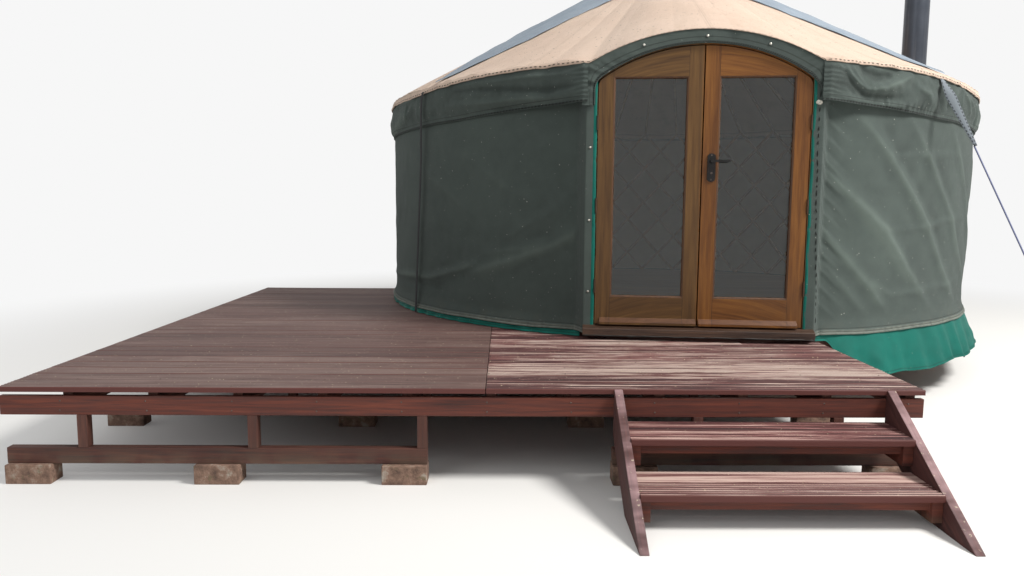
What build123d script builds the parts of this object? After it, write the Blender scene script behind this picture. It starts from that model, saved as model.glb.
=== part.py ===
from build123d import *
import os
from math import asin, atan2, ceil, cos, degrees, hypot, radians, sin, sqrt, tan

# A round timber-framed yurt on a raised round floor, with a front and side deck and three-rise steps.
# Millimetres. Z is up, z = 0 is the ground, the yurt's centre is the origin and the door faces -Y.
# Azimuths are in degrees in plan: 0 is straight out of the door (-Y) and 90 is +X.

# Levels
deck_top = 465.0
floor_top = 495.0

# Round floor of the yurt
floor_thickness = 22.0
floor_radius = 2444.0
rim_thickness = 18.0
floor_joist_width = 47.0
floor_joist_height = 145.0
floor_joist_pitch = 400.0
floor_bearer_width = 97.0
floor_bearer_height = 145.0
floor_bearer_pitch = 1600.0
pier_width = 97.0
pier_pitch = 950.0

# Pitch of the roof poles and of the lattice's crossings round the wall, in degrees
pitch = 9.0
door_bay = 18.0
corner_line = 2.5 * pitch
same_line = 0.001

# Wall
wall_radius = 2480.0
canvas_thickness = 3.0
wall_canvas_bottom = 530.0
wall_canvas_top = 2100.0
liner_thickness = 3.0
lattice_outer_radius = 2462.0
lattice_thickness = 22.0
lath_width = 30.0
lattice_rows = 4
lattice_top = 2172.0

# Roof
crown_radius = 450.0
crown_height = 3305.0
eave_radius = 2530.0
eave_front_height = 2172.0
eave_height = 2150.0
eave_settle = 40.0
valance_front_bottom = 1940.0
valance_bottom = 1875.0
valance_settle = 60.0
valance_tuck = 22.0
fit_gap = 0.3
cut_margin = 1.0

# Roof poles and crown
pole_width = 28.0
pole_end_radius = 2474.0
door_pole_inset = 12.0
crown_ring_width = 45.0
crown_ring_height = 70.0
spoke_width = 30.0
spoke_thickness = 12.0
spoke_rise = 105.0
spoke_offset = 130.0
crown_overlap = 18.0
spoke_end_gap = 12.0

# Rain cover: a star with four arms that lies on the roof over the crown
arm_azimuth = 45.0
arm_reach = 2350.0
arm_neck = 800.0
arm_spread = 12.0
cover_thickness = 3.0
cover_rise = 125.0
dome_radius = 250.0
dome_rise = 100.0

# Door: a pair of glazed leaves under one arch, in a frame
door_plane = 2455.0
door_thickness = 44.0
door_half_width = 645.0
door_bottom = 561.0
door_apex = 2293.0
door_arch_radius = 1100.0
door_corner = 60.0
leaf_gap = 8.0
running_gap = 5.0
frame_gap = 6.0
jamb_width = 70.0
jamb_depth = 110.0
head_height = 72.0
sill_height = 60.0
sill_nose = 55.0
sill_fall = 18.0
sill_step = 2.0
meeting_stile = 89.0
hinge_stile = 93.0
glass_bottom = 735.0
glass_top = 2110.0
pane_thickness = 20.0
pane_rebate = 12.0
pane_lip = 14.0
pane_edge_gap = 2.0
weatherbar_height = 42.0
weatherbar_nose = 28.0
weatherbar_inset = 30.0
weatherbar_lip = 15.0
knuckle_radius = 6.0
knuckle_height = 90.0
knuckle_stand_off = 6.2
hinge_foot_gap = 200.0
hinge_head_gap = 300.0

# Handle
plate_width = 50.0
plate_height = 173.0
plate_thickness = 8.0
plate_inset = 33.0
plate_bottom = 1468.0
plate_corner = 21.0
spindle_height = 1595.0
boss_radius = 11.0
boss_length = 34.0
lever_length = 112.0
lever_height = 15.0
lever_thickness = 9.0

# Canvas round the door
band_apex = 2383.0
band_radius = 1357.0
band_half_width = 740.0
band_reach = 20.0
band_gap = 12.0
band_leg_inner = 655.0

# Ground skirt
skirt_top = 550.0
skirt_deck_clearance = 1.0
skirt_drop_bottom = 245.0
skirt_flare = 0.33
skirt_deck_flare = 0.3
skirt_door_gap = 0.5
skirt_step_start = 1.0
skirt_step = 4.0

# Flue
flue_radius = 95.0
flue_wall = 3.0
flue_distance = 2053.0
flue_azimuth = 76.5
flue_foot = 2130.0
flue_head = 3900.0
flashing_flange = 190.0
flashing_neck = 103.0
flashing_rise = 62.0
flashing_thickness = 4.0
flashing_foot_radius = 128.0
cowl_radius = 150.0
cowl_top_radius = 12.0
cowl_height = 60.0
cowl_gap = 90.0
stay_count = 3
stay_width = 24.0
stay_lap = 30.0
stay_seat = 4.0

# Straps, guys and pegs
strap_head_azimuth = -50.0
strap_foot_azimuth = -53.8
strap_width = 32.0
strap_thickness = 3.0
webbing_top_width = 70.0
guy_azimuths = (40.0, 126.0, -126.0)
guy_slope = 2.0
webbing_length = 490.0
rope_radius = 5.0
peg_radius = 8.0
peg_height = 120.0
tie_height = 84.0

# Deck, square to its own axes, which are turned a little from the yurt's
deck_turn = 6.14
deck_front = 3716.0
deck_back = 400.0
deck_right = 510.0
deck_left = 3850.0
deck_seam = 1568.0
board_thickness = 24.0
deck_hole_radius = 2470.0
deck_seam_gap = 4.0
joist_width = 47.0
joist_height = 100.0
joist_pitch = 400.0
joist_origin = 457.0
joist_gap = 2.0
fascia_height = 92.0
fascia_thickness = 28.0
fascia_drop = 21.0
fascia_inset = 8.0
fascia_end_gap = 40.0
bearer_bottom = 92.0
bearer_height = 78.0
bearer_left_gap = 20.0
bearer_right_gap = 30.0
bearer_floor_gap = 60.0
front_bearer = -2750.0
side_bearers = (-1650.0, -500.0, 250.0)
post_width = 47.0
front_post_x = 1870.0
front_post_pitch = 800.0
right_post_places = (-560.0, 110.0)
brick_length = 215.0
brick_width = 103.0
brick_span = 1900.0

# Steps
stringer_width = 40.0
stringer_left = 965.0
stringer_right = 367.0
step_rise = 155.0
tread_fronts = (3990.0, 4240.0)
tread_thickness = 28.0
tread_board_width = 138.0
tread_board_gap = 4.0
stringer_foot = 4460.0
stringer_depth = 195.0
stringer_nose = 1.0
apron_height = 48.0
apron_thickness = 28.0
apron_inset = 34.0
cleat_inset = 14.0
cleat_width = 45.0
cleat_height = 96.0


def plan(radius, azimuth):
    """The point at a distance from the yurt's centre in an azimuth."""
    turn = radians(azimuth)
    return radius * sin(turn), -radius * cos(turn)


def at(radius, azimuth, height):
    x, y = plan(radius, azimuth)
    return x, y, height


def block(low, high):
    """A box from its lowest to its highest corner."""
    size = [b - a for a, b in zip(low, high)]
    centre = [(a + b) / 2 for a, b in zip(low, high)]
    return Pos(*centre) * Box(*size)


def prism(points, along):
    """A flat polygon of 3-D points, pushed along a vector."""
    face = Face(Wire.make_polygon([Vector(*point) for point in points]))
    push = Vector(*along)
    return extrude(face, push.length, dir=push.normalized())


def upright(radius, height, x=0, y=0, z=0):
    """A round bar that stands on the height z."""
    return Pos(x, y, z + height / 2) * Cylinder(radius, height)


def arc_wall(inner, outer, start, end, bottom, top):
    """A stretch of round wall between two azimuths."""
    middle = (start + end) / 2
    out_start, out_middle, out_end = (at(outer, azimuth, bottom) for azimuth in (start, middle, end))
    in_start, in_middle, in_end = (at(inner, azimuth, bottom) for azimuth in (start, middle, end))
    outer_arc = ThreePointArc(out_start, out_middle, out_end)
    inner_arc = ThreePointArc(in_end, in_middle, in_start)
    sides = [Line(out_end, in_end), Line(in_start, out_start)]
    edges = [outer_arc.edge(), sides[0].edge(), inner_arc.edge(), sides[1].edge()]
    return extrude(Face(Wire(edges)), top - bottom, dir=(0, 0, 1))


def closed_solid(triangles):
    """A solid from the triangles of its whole skin."""
    faces = [Face(Wire.make_polygon([Vector(*point) for point in corners])) for corners in triangles]
    solid = Solid(Shell(faces))
    if solid.volume < 0:
        solid = Solid(Shell([-face for face in faces]))
    return solid


def halves(a, b, c, d):
    return [(a, b, c), (a, c, d)]


def sheet(outer, inner):
    """A thick sheet between two grids of points, which have as many rows and columns."""
    rows = len(outer) - 1
    columns = len(outer[0]) - 1
    triangles = []
    for i in range(rows):
        for j in range(columns):
            triangles += halves(outer[i][j], outer[i + 1][j], outer[i + 1][j + 1], outer[i][j + 1])
            triangles += halves(inner[i][j], inner[i][j + 1], inner[i + 1][j + 1], inner[i + 1][j])
    for j in range(columns):
        triangles += halves(outer[0][j], outer[0][j + 1], inner[0][j + 1], inner[0][j])
        triangles += halves(outer[rows][j], inner[rows][j], inner[rows][j + 1], outer[rows][j + 1])
    last = columns
    for i in range(rows):
        triangles += halves(outer[i][0], inner[i][0], inner[i + 1][0], outer[i + 1][0])
        triangles += halves(outer[i][last], outer[i + 1][last], inner[i + 1][last], inner[i][last])
    return closed_solid(triangles)


def fade(value, start, end):
    """1 at the start of a range, 0 at its end, straight between."""
    share = (end - value) / (end - start)
    return min(1.0, max(0.0, share))


# Roof canvas

band_end = degrees(atan2(band_half_width, door_plane + band_reach))
door_lines = [pitch / 2 * k for k in range(4)] + [band_end]


def canvas_lines(start, end):
    """The azimuths of the canvas's straight lines, from the hem up to the crown."""
    lines = []
    for line in door_lines + [corner_line]:
        lines += [line, -line]
    count = int(180 / pitch)
    lines += [pitch * k for k in range(-count - 1, 2 * count + 2) if abs(pitch * k) > corner_line]
    return sorted({round(line, 6) for line in lines if start <= round(line, 6) <= end})


def hem_point(azimuth):
    """Where the roof canvas ends: over the door's arch, or at the eave."""
    turn = azimuth if azimuth <= 180 else azimuth - 360
    if abs(turn) <= band_end + same_line:
        depth = door_plane + band_reach
        x = depth * tan(radians(turn))
        return x, -depth, band_apex - band_radius + sqrt(band_radius ** 2 - x ** 2)
    lift = fade(abs(turn), band_end, eave_settle) * (eave_front_height - eave_height)
    return at(eave_radius, azimuth, eave_height + lift)


def roof_point(azimuth, radius):
    """A point of the roof canvas's outer face, on the straight line from hem to crown."""
    x, y, z = hem_point(azimuth)
    hem_radius = hypot(x, y)
    share = (hem_radius - radius) / (hem_radius - crown_radius)
    return at(radius, azimuth, z + share * (crown_height - z))


def lowered(point, drop):
    return point[0], point[1], point[2] - drop


def flue_place():
    return plan(flue_distance, flue_azimuth)


def roof_canvas(start, end):
    lines = canvas_lines(start, end)
    hem = [hem_point(line) for line in lines]
    cover_edge = [roof_point(line, arm_outline(line)) for line in lines]
    crown = [roof_point(line, crown_radius - crown_overlap) for line in lines]
    outer = [hem, cover_edge, crown]
    inner = [[lowered(point, canvas_thickness) for point in row] for row in outer]
    canvas = sheet(outer, inner)
    if start <= flue_azimuth <= end:
        x, y = flue_place()
        canvas -= upright(flue_radius + fit_gap, crown_height, x, y)
    return canvas


def valance_height(azimuth):
    turn = abs(azimuth if azimuth <= 180 else azimuth - 360)
    lift = valance_front_bottom - valance_bottom
    return valance_bottom + fade(turn, band_end, valance_settle) * lift


def roof_valance(side):
    """The green band that hangs from the roof's hem, from the door's corner to the back."""
    lines = [side * line for line in canvas_lines(0, 180) if line > band_end - same_line]
    top = [lowered(hem_point(line), canvas_thickness) for line in lines]
    inner_top = []
    bottom = []
    inner_bottom = []
    for line, (x, y, z) in zip(lines, top):
        reach = hypot(x, y)
        tuck = reach - valance_tuck
        inner_top.append(at(reach - canvas_thickness, line, z))
        bottom.append(at(tuck, line, valance_height(line)))
        inner_bottom.append(at(tuck - canvas_thickness, line, valance_height(line)))
    return sheet([top, bottom], [inner_top, inner_bottom])


def arch_height(x, apex, radius):
    return apex - radius + sqrt(radius ** 2 - x ** 2)


def door_band():
    """The curved strip of canvas over the door's head, with a leg down each post to the valance's hem."""
    front = door_plane + band_reach
    edge = band_half_width - canvas_thickness
    hem = [hem_point(line) for line in door_lines]
    upper = [(x, z - canvas_thickness) for x, y, z in hem[:-1]]
    upper += [(edge, hem[-1][2] - canvas_thickness), (edge, valance_front_bottom)]
    lower = []
    for x, z in upper[:-1]:
        near = x * band_leg_inner / edge
        lower.append((near, arch_height(near, door_apex + band_gap, door_arch_radius)))
    lower.append((band_leg_inner, valance_front_bottom))
    rows = [[(-x, z) for x, z in reversed(half[1:])] + half for half in (upper, lower)]
    outer = [[(x, -front, z) for x, z in row] for row in rows]
    inner = [[(x, -front + canvas_thickness, z) for x, z in row] for row in rows]
    return sheet(outer, inner)


# Frame of the roof

def line_slope(azimuth):
    """How steeply the canvas rises along one of its lines."""
    x, y, z = hem_point(azimuth)
    return (crown_height - z) / (hypot(x, y) - crown_radius)


def ridge_fall(azimuth):
    """How far the canvas falls to either side of its line, over half a pole's width."""
    x, y, z = hem_point(azimuth)
    slope = line_slope(azimuth)
    lines = canvas_lines(-180 - pitch, 360)
    falls = []
    for neighbour in (max(line for line in lines if line < azimuth - same_line),
                      min(line for line in lines if line > azimuth + same_line)):
        turn = radians(abs(neighbour - azimuth))
        next_x, next_y, next_z = hem_point(neighbour)
        reach = hypot(next_x, next_y)
        side = reach * sin(turn)
        falls.append(pole_width / 2 / side * (slope * (hypot(x, y) - reach * cos(turn)) + z - next_z))
    return max(falls + [0.0])


def pole_drop(azimuth):
    """How far the pole's middle line lies under the canvas's outer face."""
    slope = line_slope(azimuth)
    half_height = pole_width / 2 * sqrt(1 + slope ** 2)
    return canvas_thickness + fit_gap + ridge_fall(azimuth) + half_height


def roof_pole(azimuth):
    """A straight square pole from the wall or the door's head up to the crown ring."""
    slope = line_slope(azimuth)
    drop = pole_drop(azimuth)
    over_door = abs(azimuth) < door_bay - pitch / 2
    foot_radius = door_plane - door_pole_inset if over_door else pole_end_radius
    foot = roof_point(azimuth, foot_radius)
    head = roof_point(azimuth, crown_radius)
    half_height = pole_width / 2 * sqrt(1 + slope ** 2)
    side = radians(azimuth)
    across = (pole_width * cos(side), pole_width * sin(side), 0)
    corners = []
    for point, turn in ((foot, -1), (foot, 1), (head, 1), (head, -1)):
        x, y, z = point
        corners.append((x - across[0] / 2, y - across[1] / 2, z - drop + turn * half_height))
    return prism(corners, across)


def crown_seat():
    """The top of the crown ring, under the canvas's flat facets."""
    facet_fall = crown_radius * (1 - cos(radians(pitch / 2))) * line_slope(90)
    return crown_height - canvas_thickness - fit_gap - facet_fall


def crown_ring():
    top = crown_seat()
    ring = upright(crown_radius, crown_ring_height, z=top - crown_ring_height)
    return ring - upright(crown_radius - crown_ring_width, crown_ring_height, z=top - crown_ring_height)


def crown_spokes():
    """Arched laths that cross over the crown ring and stand on it."""
    ring_top = crown_seat()
    seat = crown_radius - crown_overlap - spoke_end_gap
    laths = []
    for offset in (-spoke_offset, 0, spoke_offset):
        half = sqrt(seat ** 2 - offset ** 2)
        share = half / seat
        rise = spoke_rise * share
        low = ThreePointArc((-half, 0, ring_top), (0, 0, ring_top + rise), (half, 0, ring_top)).edge()
        over = ring_top + spoke_thickness
        high = ThreePointArc((half, 0, over), (0, 0, over + rise), (-half, 0, over)).edge()
        right_end = Line((half, 0, ring_top), (half, 0, over)).edge()
        left_end = Line((-half, 0, over), (-half, 0, ring_top)).edge()
        face = Face(Wire([low, right_end, high, left_end]))
        lath = Pos(0, offset - spoke_width / 2, 0) * extrude(face, spoke_width, dir=(0, 1, 0))
        laths.append(lath)
        laths.append(Rot(0, 0, 90) * lath)
    spokes = laths[0]
    for lath in laths[1:]:
        spokes += lath
    return spokes


def arm_outline(azimuth):
    """How far the star's edge reaches from the crown in an azimuth."""
    turn = abs(azimuth if azimuth <= 180 else azimuth - 360)
    arm = arm_azimuth if turn <= 90 else 180 - arm_azimuth
    off = abs(turn - arm)
    return arm_neck + (arm_reach - arm_neck) * 2 ** (-off / arm_spread)


def crown_cover():
    """The star of cloth, domed over the crossed laths and flat on the roof round them."""
    lines = canvas_lines(-180, 180)[1:]
    rim = [lowered(roof_point(line, arm_outline(line)), -fit_gap) for line in lines]
    ring = [lowered(roof_point(line, crown_radius - crown_overlap), -fit_gap) for line in lines]
    dome = [at(dome_radius, line, crown_height + dome_rise) for line in lines]
    rows = [rim, ring, dome]
    outer = [[lowered(point, -cover_thickness) for point in row] for row in rows]
    count = len(lines)
    apex = (0, 0, crown_height + cover_rise)
    apex_top = lowered(apex, -cover_thickness)
    triangles = []
    for j in range(count):
        k = (j + 1) % count
        for i in range(2):
            triangles += halves(outer[i][j], outer[i][k], outer[i + 1][k], outer[i + 1][j])
            triangles += halves(rows[i][j], rows[i + 1][j], rows[i + 1][k], rows[i][k])
        triangles += halves(outer[0][j], rows[0][j], rows[0][k], outer[0][k])
        triangles.append((outer[2][j], outer[2][k], apex_top))
        triangles.append((rows[2][k], rows[2][j], apex))
    return closed_solid(triangles)


# Wall

def wall_canvas(start, end):
    inner = wall_radius - canvas_thickness
    return arc_wall(inner, wall_radius, start, end, wall_canvas_bottom, wall_canvas_top)


def door_flap(side):
    """The strip of canvas that closes the gap from the wall forward to the door's jamb."""
    x, y = plan(wall_radius, side * door_bay)
    jamb = side * (door_half_width + running_gap + jamb_width + fit_gap)
    front = (jamb, -door_plane)
    wall = (x, y - fit_gap)
    run = Vector(front[0] - wall[0], front[1] - wall[1], 0)
    out = Vector(-run.Y, run.X, 0).normalized() * canvas_thickness * side
    far_front = (front[0] + out.X, front[1] + out.Y)
    far_wall = (wall[0] + out.X, wall[1] + out.Y)
    points = [(a, b, wall_canvas_bottom) for a, b in (wall, front, far_front, far_wall)]
    return prism(points, (0, 0, wall_canvas_top - wall_canvas_bottom))


def wall_liner():
    inner = lattice_outer_radius + fit_gap
    outer = inner + liner_thickness
    return arc_wall(inner, outer, door_bay, 360 - door_bay, floor_top, wall_canvas_top)


def lattice_panel(azimuth):
    """One bay of the lattice: crossed laths, cut upright at both sides."""
    turn = radians(pitch / 2)
    outer_half = lattice_outer_radius * tan(turn)
    inner_face = (lattice_outer_radius - lattice_thickness) * cos(turn)
    outer_face = lattice_outer_radius * cos(turn)
    cell = (lattice_top - floor_top) / lattice_rows
    laths = None
    for row in range(lattice_rows):
        low = floor_top + row * cell
        for way in (-1, 1):
            lean = atan2(cell, 2 * outer_half)
            half = lath_width / 2 / cos(lean)
            near, far = -way * outer_half, way * outer_half
            high = low + cell
            corners = [(near, low - half), (far, high - half), (far, high + half), (near, low + half)]
            points = [(x, -inner_face, z) for x, z in corners]
            lath = prism(points, (0, inner_face - outer_face, 0))
            laths = lath if laths is None else laths + lath
    wedge_points = [(0, 0, floor_top)]
    reach = lattice_outer_radius + lath_width
    for side in (-1, 1):
        wedge_points.append((side * reach * tan(turn), -reach, floor_top))
    wedge = prism(wedge_points, (0, 0, lattice_top - floor_top))
    return Rot(0, 0, azimuth) * (laths & wedge)


def wall_lattice(side):
    """Half of the wall's lattice, from the door's jamb to the back, notched for the roof poles."""
    count = round((180 - door_bay) / pitch)
    lattice = None
    for k in range(count):
        panel = lattice_panel(side * (door_bay + pitch * (k + 0.5)))
        lattice = panel if lattice is None else lattice + panel
    for k in range(count + 1):
        lattice -= roof_pole(side * (door_bay + pitch * k))
    return lattice


# Round floor

def floor_joists():
    half = floor_joist_width / 2
    count = int(floor_radius / floor_joist_pitch)
    top = floor_top - floor_thickness
    joists = []
    for k in range(-count, count + 1):
        x = k * floor_joist_pitch
        reach = sqrt(floor_radius ** 2 - (abs(x) + half) ** 2)
        joists.append(block((x - half, -reach, top - floor_joist_height), (x + half, reach, top)))
    return joists


def floor_bearers():
    half = floor_bearer_width / 2
    top = floor_top - floor_thickness - floor_joist_height
    bearers = []
    for k in (-1, 0, 1):
        y = k * floor_bearer_pitch
        reach = sqrt(floor_radius ** 2 - (abs(y) + half) ** 2)
        bearers.append(block((-reach, y - half, top - floor_bearer_height), (reach, y + half, top)))
    return bearers


def floor_piers():
    half = pier_width / 2
    top = floor_top - floor_thickness - floor_joist_height - floor_bearer_height
    piers = []
    for k in (-1, 0, 1):
        y = k * floor_bearer_pitch
        reach = floor_radius - abs(k) * (floor_radius - sqrt(floor_radius ** 2 - y ** 2))
        count = int((reach - half) / pier_pitch)
        for i in range(-count, count + 1):
            x = i * pier_pitch
            piers.append(block((x - half, y - half, 0), (x + half, y + half, top)))
    return piers


def floor_rim():
    bottom = floor_top - floor_thickness - floor_joist_height
    height = floor_top - bottom
    ring = upright(floor_radius + rim_thickness, height, z=bottom)
    return ring - upright(floor_radius, height, z=bottom)


# Door

def arch_face(half_width, bottom, apex, radius, depth):
    """A flat face with an arched top, in an upright plane."""
    shoulder = arch_height(half_width, apex, radius)
    right, left = (half_width, -depth, shoulder), (-half_width, -depth, shoulder)
    arc = ThreePointArc(right, (0, -depth, apex), left)
    lines = [
        Line(left, (-half_width, -depth, bottom)),
        Line((-half_width, -depth, bottom), (half_width, -depth, bottom)),
        Line((half_width, -depth, bottom), right),
    ]
    edges = [arc.edge()] + [line.edge() for line in lines]
    return Face(Wire(edges))


def arched_slab(half_width, bottom, apex, radius, front, thickness):
    return extrude(arch_face(half_width, bottom, apex, radius, front), thickness, dir=(0, 1, 0))


def weatherbar(side):
    """The sloped bar along the foot of a leaf that throws the rain clear."""
    front = -door_plane
    low = door_bottom
    section = [
        (front, low),
        (front - weatherbar_nose, low),
        (front - weatherbar_nose, low + weatherbar_lip),
        (front, low + weatherbar_height),
    ]
    start = leaf_gap / 2 + running_gap
    points = [(side * start, y, z) for y, z in section]
    return prism(points, (side * (door_half_width - weatherbar_inset - start), 0, 0))


def door_leaf(side):
    """A glazed leaf: stiles and rails round one tall pane, its rebate open to the inside."""
    half = door_half_width
    slab = arched_slab(half, door_bottom, door_apex, door_arch_radius, door_plane, door_thickness)
    shoulder = arch_height(half, door_apex, door_arch_radius)
    edges = slab.edges().filter_by(Axis.Y)
    slab = fillet([edge for edge in edges if abs(edge.center().Z - shoulder) < cut_margin], door_corner)
    near = leaf_gap / 2
    front = -door_plane - cut_margin
    keep = block((near, front, 0), (half + cut_margin, 0, door_apex + cut_margin))
    glass_near = near + meeting_stile
    glass_far = half - hinge_stile
    opening = block((glass_near, front, glass_bottom), (glass_far, 0, glass_top))
    rebate_low = (glass_near - pane_rebate, -door_plane + pane_lip, glass_bottom - pane_rebate)
    rebate = block(rebate_low, (glass_far + pane_rebate, 0, glass_top + pane_rebate))
    leaf = (slab & keep) - opening - rebate
    leaf += weatherbar(1)
    if side < 0:
        leaf = leaf.mirror(Plane.YZ)
    return leaf


def door_pane(side):
    near = leaf_gap / 2 + meeting_stile - pane_rebate + pane_edge_gap
    far = door_half_width - hinge_stile + pane_rebate - pane_edge_gap
    front = -door_plane + pane_lip
    low = glass_bottom - pane_rebate
    high = glass_top + pane_rebate - pane_edge_gap
    ends = sorted((side * near, side * far))
    return block((ends[0], front, low), (ends[1], front + pane_thickness, high))


def hinge_axis(side):
    return side * (door_half_width + running_gap / 2), -door_plane - knuckle_stand_off


def door_hinges():
    knuckles = []
    low = door_bottom + hinge_foot_gap
    high = arch_height(door_half_width, door_apex, door_arch_radius) - hinge_head_gap
    for side in (-1, 1):
        x, y = hinge_axis(side)
        for z in (low, (low + high) / 2, high):
            knuckles.append(upright(knuckle_radius, knuckle_height, x, y, z))
    return knuckles


def handle_plates():
    """The plate on each face of the right leaf, with the hole for the lever's boss."""
    far = plate_inset + plate_width
    high = plate_bottom + plate_height
    plates = []
    for front in (-door_plane - plate_thickness, -door_plane + door_thickness):
        plate = block((plate_inset, front, plate_bottom), (far, front + plate_thickness, high))
        plate = fillet(plate.edges().filter_by(Axis.Y), plate_corner)
        centre = Pos(plate_inset + plate_width / 2, front + plate_thickness / 2, spindle_height)
        plate -= centre * Rot(90, 0, 0) * Cylinder(boss_radius + fit_gap, plate_thickness * 2)
        plates.append(plate)
    return plates


def door_levers():
    """The pair of levers on one spindle."""
    x = plate_inset + plate_width / 2
    levers = []
    for face, out in ((-door_plane, -1), (-door_plane + door_thickness, 1)):
        near = face + out * fit_gap
        far = near + out * boss_length
        middle = (near + far) / 2
        boss = Pos(x, middle, spindle_height) * Rot(90, 0, 0) * Cylinder(boss_radius, boss_length)
        front, back = sorted((far - out * lever_thickness, far))
        low = (x, front, spindle_height - lever_height / 2)
        bar = block(low, (x + lever_length, back, spindle_height + lever_height / 2))
        levers.append(boss + bar)
    return levers


def head_foot():
    """The height at which the arched head stands on the two posts."""
    return arch_height(door_half_width + running_gap, door_apex + frame_gap, door_arch_radius) - cut_margin


def door_jambs():
    """The two posts of the door's frame, up to the arched head."""
    jambs = []
    inner = door_half_width + running_gap
    top = head_foot()
    for side in (-1, 1):
        ends = sorted((side * inner, side * (inner + jamb_width)))
        low = (ends[0], -door_plane, floor_top + sill_height)
        jambs.append(block(low, (ends[1], -door_plane + jamb_depth, top)))
    return jambs


def door_head():
    """The arched head of the frame, notched on top for the roof poles over the door."""
    inner = door_half_width + running_gap
    half = inner + jamb_width
    bottom = head_foot()
    outer_radius = door_arch_radius + head_height
    slab = arched_slab(half, bottom, door_apex + head_height, outer_radius, door_plane, jamb_depth)
    front = door_plane + cut_margin
    depth = jamb_depth + 2 * cut_margin
    hole = arched_slab(inner, bottom - cut_margin, door_apex + frame_gap, door_arch_radius, front, depth)
    head = slab - hole
    for azimuth in (-pitch, 0, pitch):
        head -= roof_pole(azimuth)
    return head


def door_sill():
    half = door_half_width + running_gap + jamb_width
    front = -door_plane - sill_nose
    back = -door_plane + jamb_depth
    high = floor_top + sill_height
    step = -door_plane - sill_step
    profile = [(front, floor_top), (back, floor_top), (back, high), (step, high), (front, high - sill_fall)]
    points = [(-half, y, z) for y, z in profile]
    return prism(points, (2 * half, 0, 0))


# Skirt

def deck_azimuths():
    """The azimuths, seen from the yurt, between which the deck meets the round floor."""
    right = degrees(asin(deck_right / deck_hole_radius)) + deck_turn
    left = -90 - degrees(asin(deck_back / deck_hole_radius)) + deck_turn
    return left, right


def skirt_section(azimuth):
    """The skirt's foot at an azimuth: how far down it hangs and how far out."""
    left, right = deck_azimuths()
    outside = max(azimuth - right - skirt_step_start, left - skirt_step_start - azimuth, 0.0)
    share = min(1.0, outside / skirt_step)
    on_deck = deck_top + skirt_deck_clearance
    bottom = on_deck + share * (skirt_drop_bottom - on_deck)
    flare = skirt_deck_flare + share * (skirt_flare - skirt_deck_flare)
    return bottom, skirt_radius() + flare * (skirt_top - bottom)


def skirt_radius():
    """The skirt's top, whose flat facets clear the round wall."""
    return (wall_radius + fit_gap) / cos(radians(pitch / 2)) + canvas_thickness


def ground_skirt(side):
    """Half of the skirt: it lies on the deck where there is one, and else hangs over the floor's rim."""
    left, right = deck_azimuths()
    start = door_bay + skirt_door_gap
    edge = right if side > 0 else -left
    lines = [start, corner_line, edge + skirt_step_start, edge + skirt_step_start + skirt_step]
    lines += [pitch * k for k in range(3, int(180 / pitch) + 1)]
    azimuths = [side * line for line in sorted({round(line, 3) for line in lines})]
    top_radius = skirt_radius()
    feet = [skirt_section(azimuth) for azimuth in azimuths]
    top = [at(top_radius, azimuth, skirt_top) for azimuth in azimuths]
    bottom = [at(foot[1], azimuth, foot[0]) for azimuth, foot in zip(azimuths, feet)]
    inner_top = [at(top_radius - canvas_thickness, azimuth, skirt_top) for azimuth in azimuths]
    inner_bottom = []
    for azimuth, foot in zip(azimuths, feet):
        inner_bottom.append(at(foot[1] - canvas_thickness, azimuth, foot[0]))
    return sheet([top, bottom], [inner_top, inner_bottom])


# Flue

def flue_pipe():
    """The flue, open at its foot inside, with its rain cap on three stays."""
    x, y = flue_place()
    pipe = upright(flue_radius, flue_head - flue_foot, x, y, flue_foot)
    pipe -= upright(flue_radius - flue_wall, flue_head - flue_foot, x, y, flue_foot)
    cap_foot = flue_head + cowl_gap
    cap = Pos(x, y, cap_foot + cowl_height / 2) * Cone(cowl_radius, cowl_top_radius, cowl_height)
    low = (-flue_wall / 2, -stay_width / 2, flue_head - stay_lap)
    stay = block(low, (flue_wall / 2, stay_width / 2, cap_foot + stay_seat))
    for k in range(stay_count):
        turn = Rot(0, 0, 360 / stay_count * k)
        pipe += Pos(x, y, 0) * turn * Pos(flue_radius - flue_wall / 2, 0, 0) * stay
    return pipe + cap


def roof_slope(azimuth):
    """The angle at which a flat facet of the canvas lies, in radians."""
    x, y, z = hem_point(azimuth)
    return atan2(crown_height - z, (hypot(x, y) - crown_radius) * cos(radians(pitch / 2)))


def flue_flashing():
    """The flexible collar that seals the pipe to the canvas."""
    x, y = flue_place()
    line = pitch * int(flue_azimuth / pitch)
    line_radius = flue_distance / cos(radians(pitch / 2))
    surface = roof_point(line, line_radius)[2] + fit_gap
    seat = Pos(x, y, surface) * Rot(0, 0, flue_azimuth) * Rot(degrees(roof_slope(line)), 0, 0)
    flange = seat * Pos(0, 0, flashing_thickness / 2) * Cylinder(flashing_flange, flashing_thickness)
    neck = Pos(x, y, surface) * Cone(flashing_foot_radius, flashing_neck, 2 * flashing_rise)
    wide = 2 * flashing_flange
    above = seat * block((-wide, -wide, 0), (wide, wide, wide))
    collar = flange + (neck & above)
    return collar - upright(flue_radius + fit_gap, crown_height, x, y)


# Straps, guys and pegs

def deck_strap():
    """The black strap that leans from the roof's hem down to the deck, flat on the hem's facet."""
    facet = pitch * (strap_head_azimuth // pitch + 0.5)
    near = eave_radius * cos(radians(pitch / 2)) + fit_gap
    head, foot = (near * tan(radians(end - facet)) for end in (strap_head_azimuth, strap_foot_azimuth))
    top = hem_point(facet)[2] - canvas_thickness
    half = strap_width / 2
    corners = [(head - half, top), (head + half, top), (foot + half, deck_top), (foot - half, deck_top)]
    strap = prism([(x, -near, z) for x, z in corners], (0, -strap_thickness, 0))
    return Rot(0, 0, facet) * strap


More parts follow.
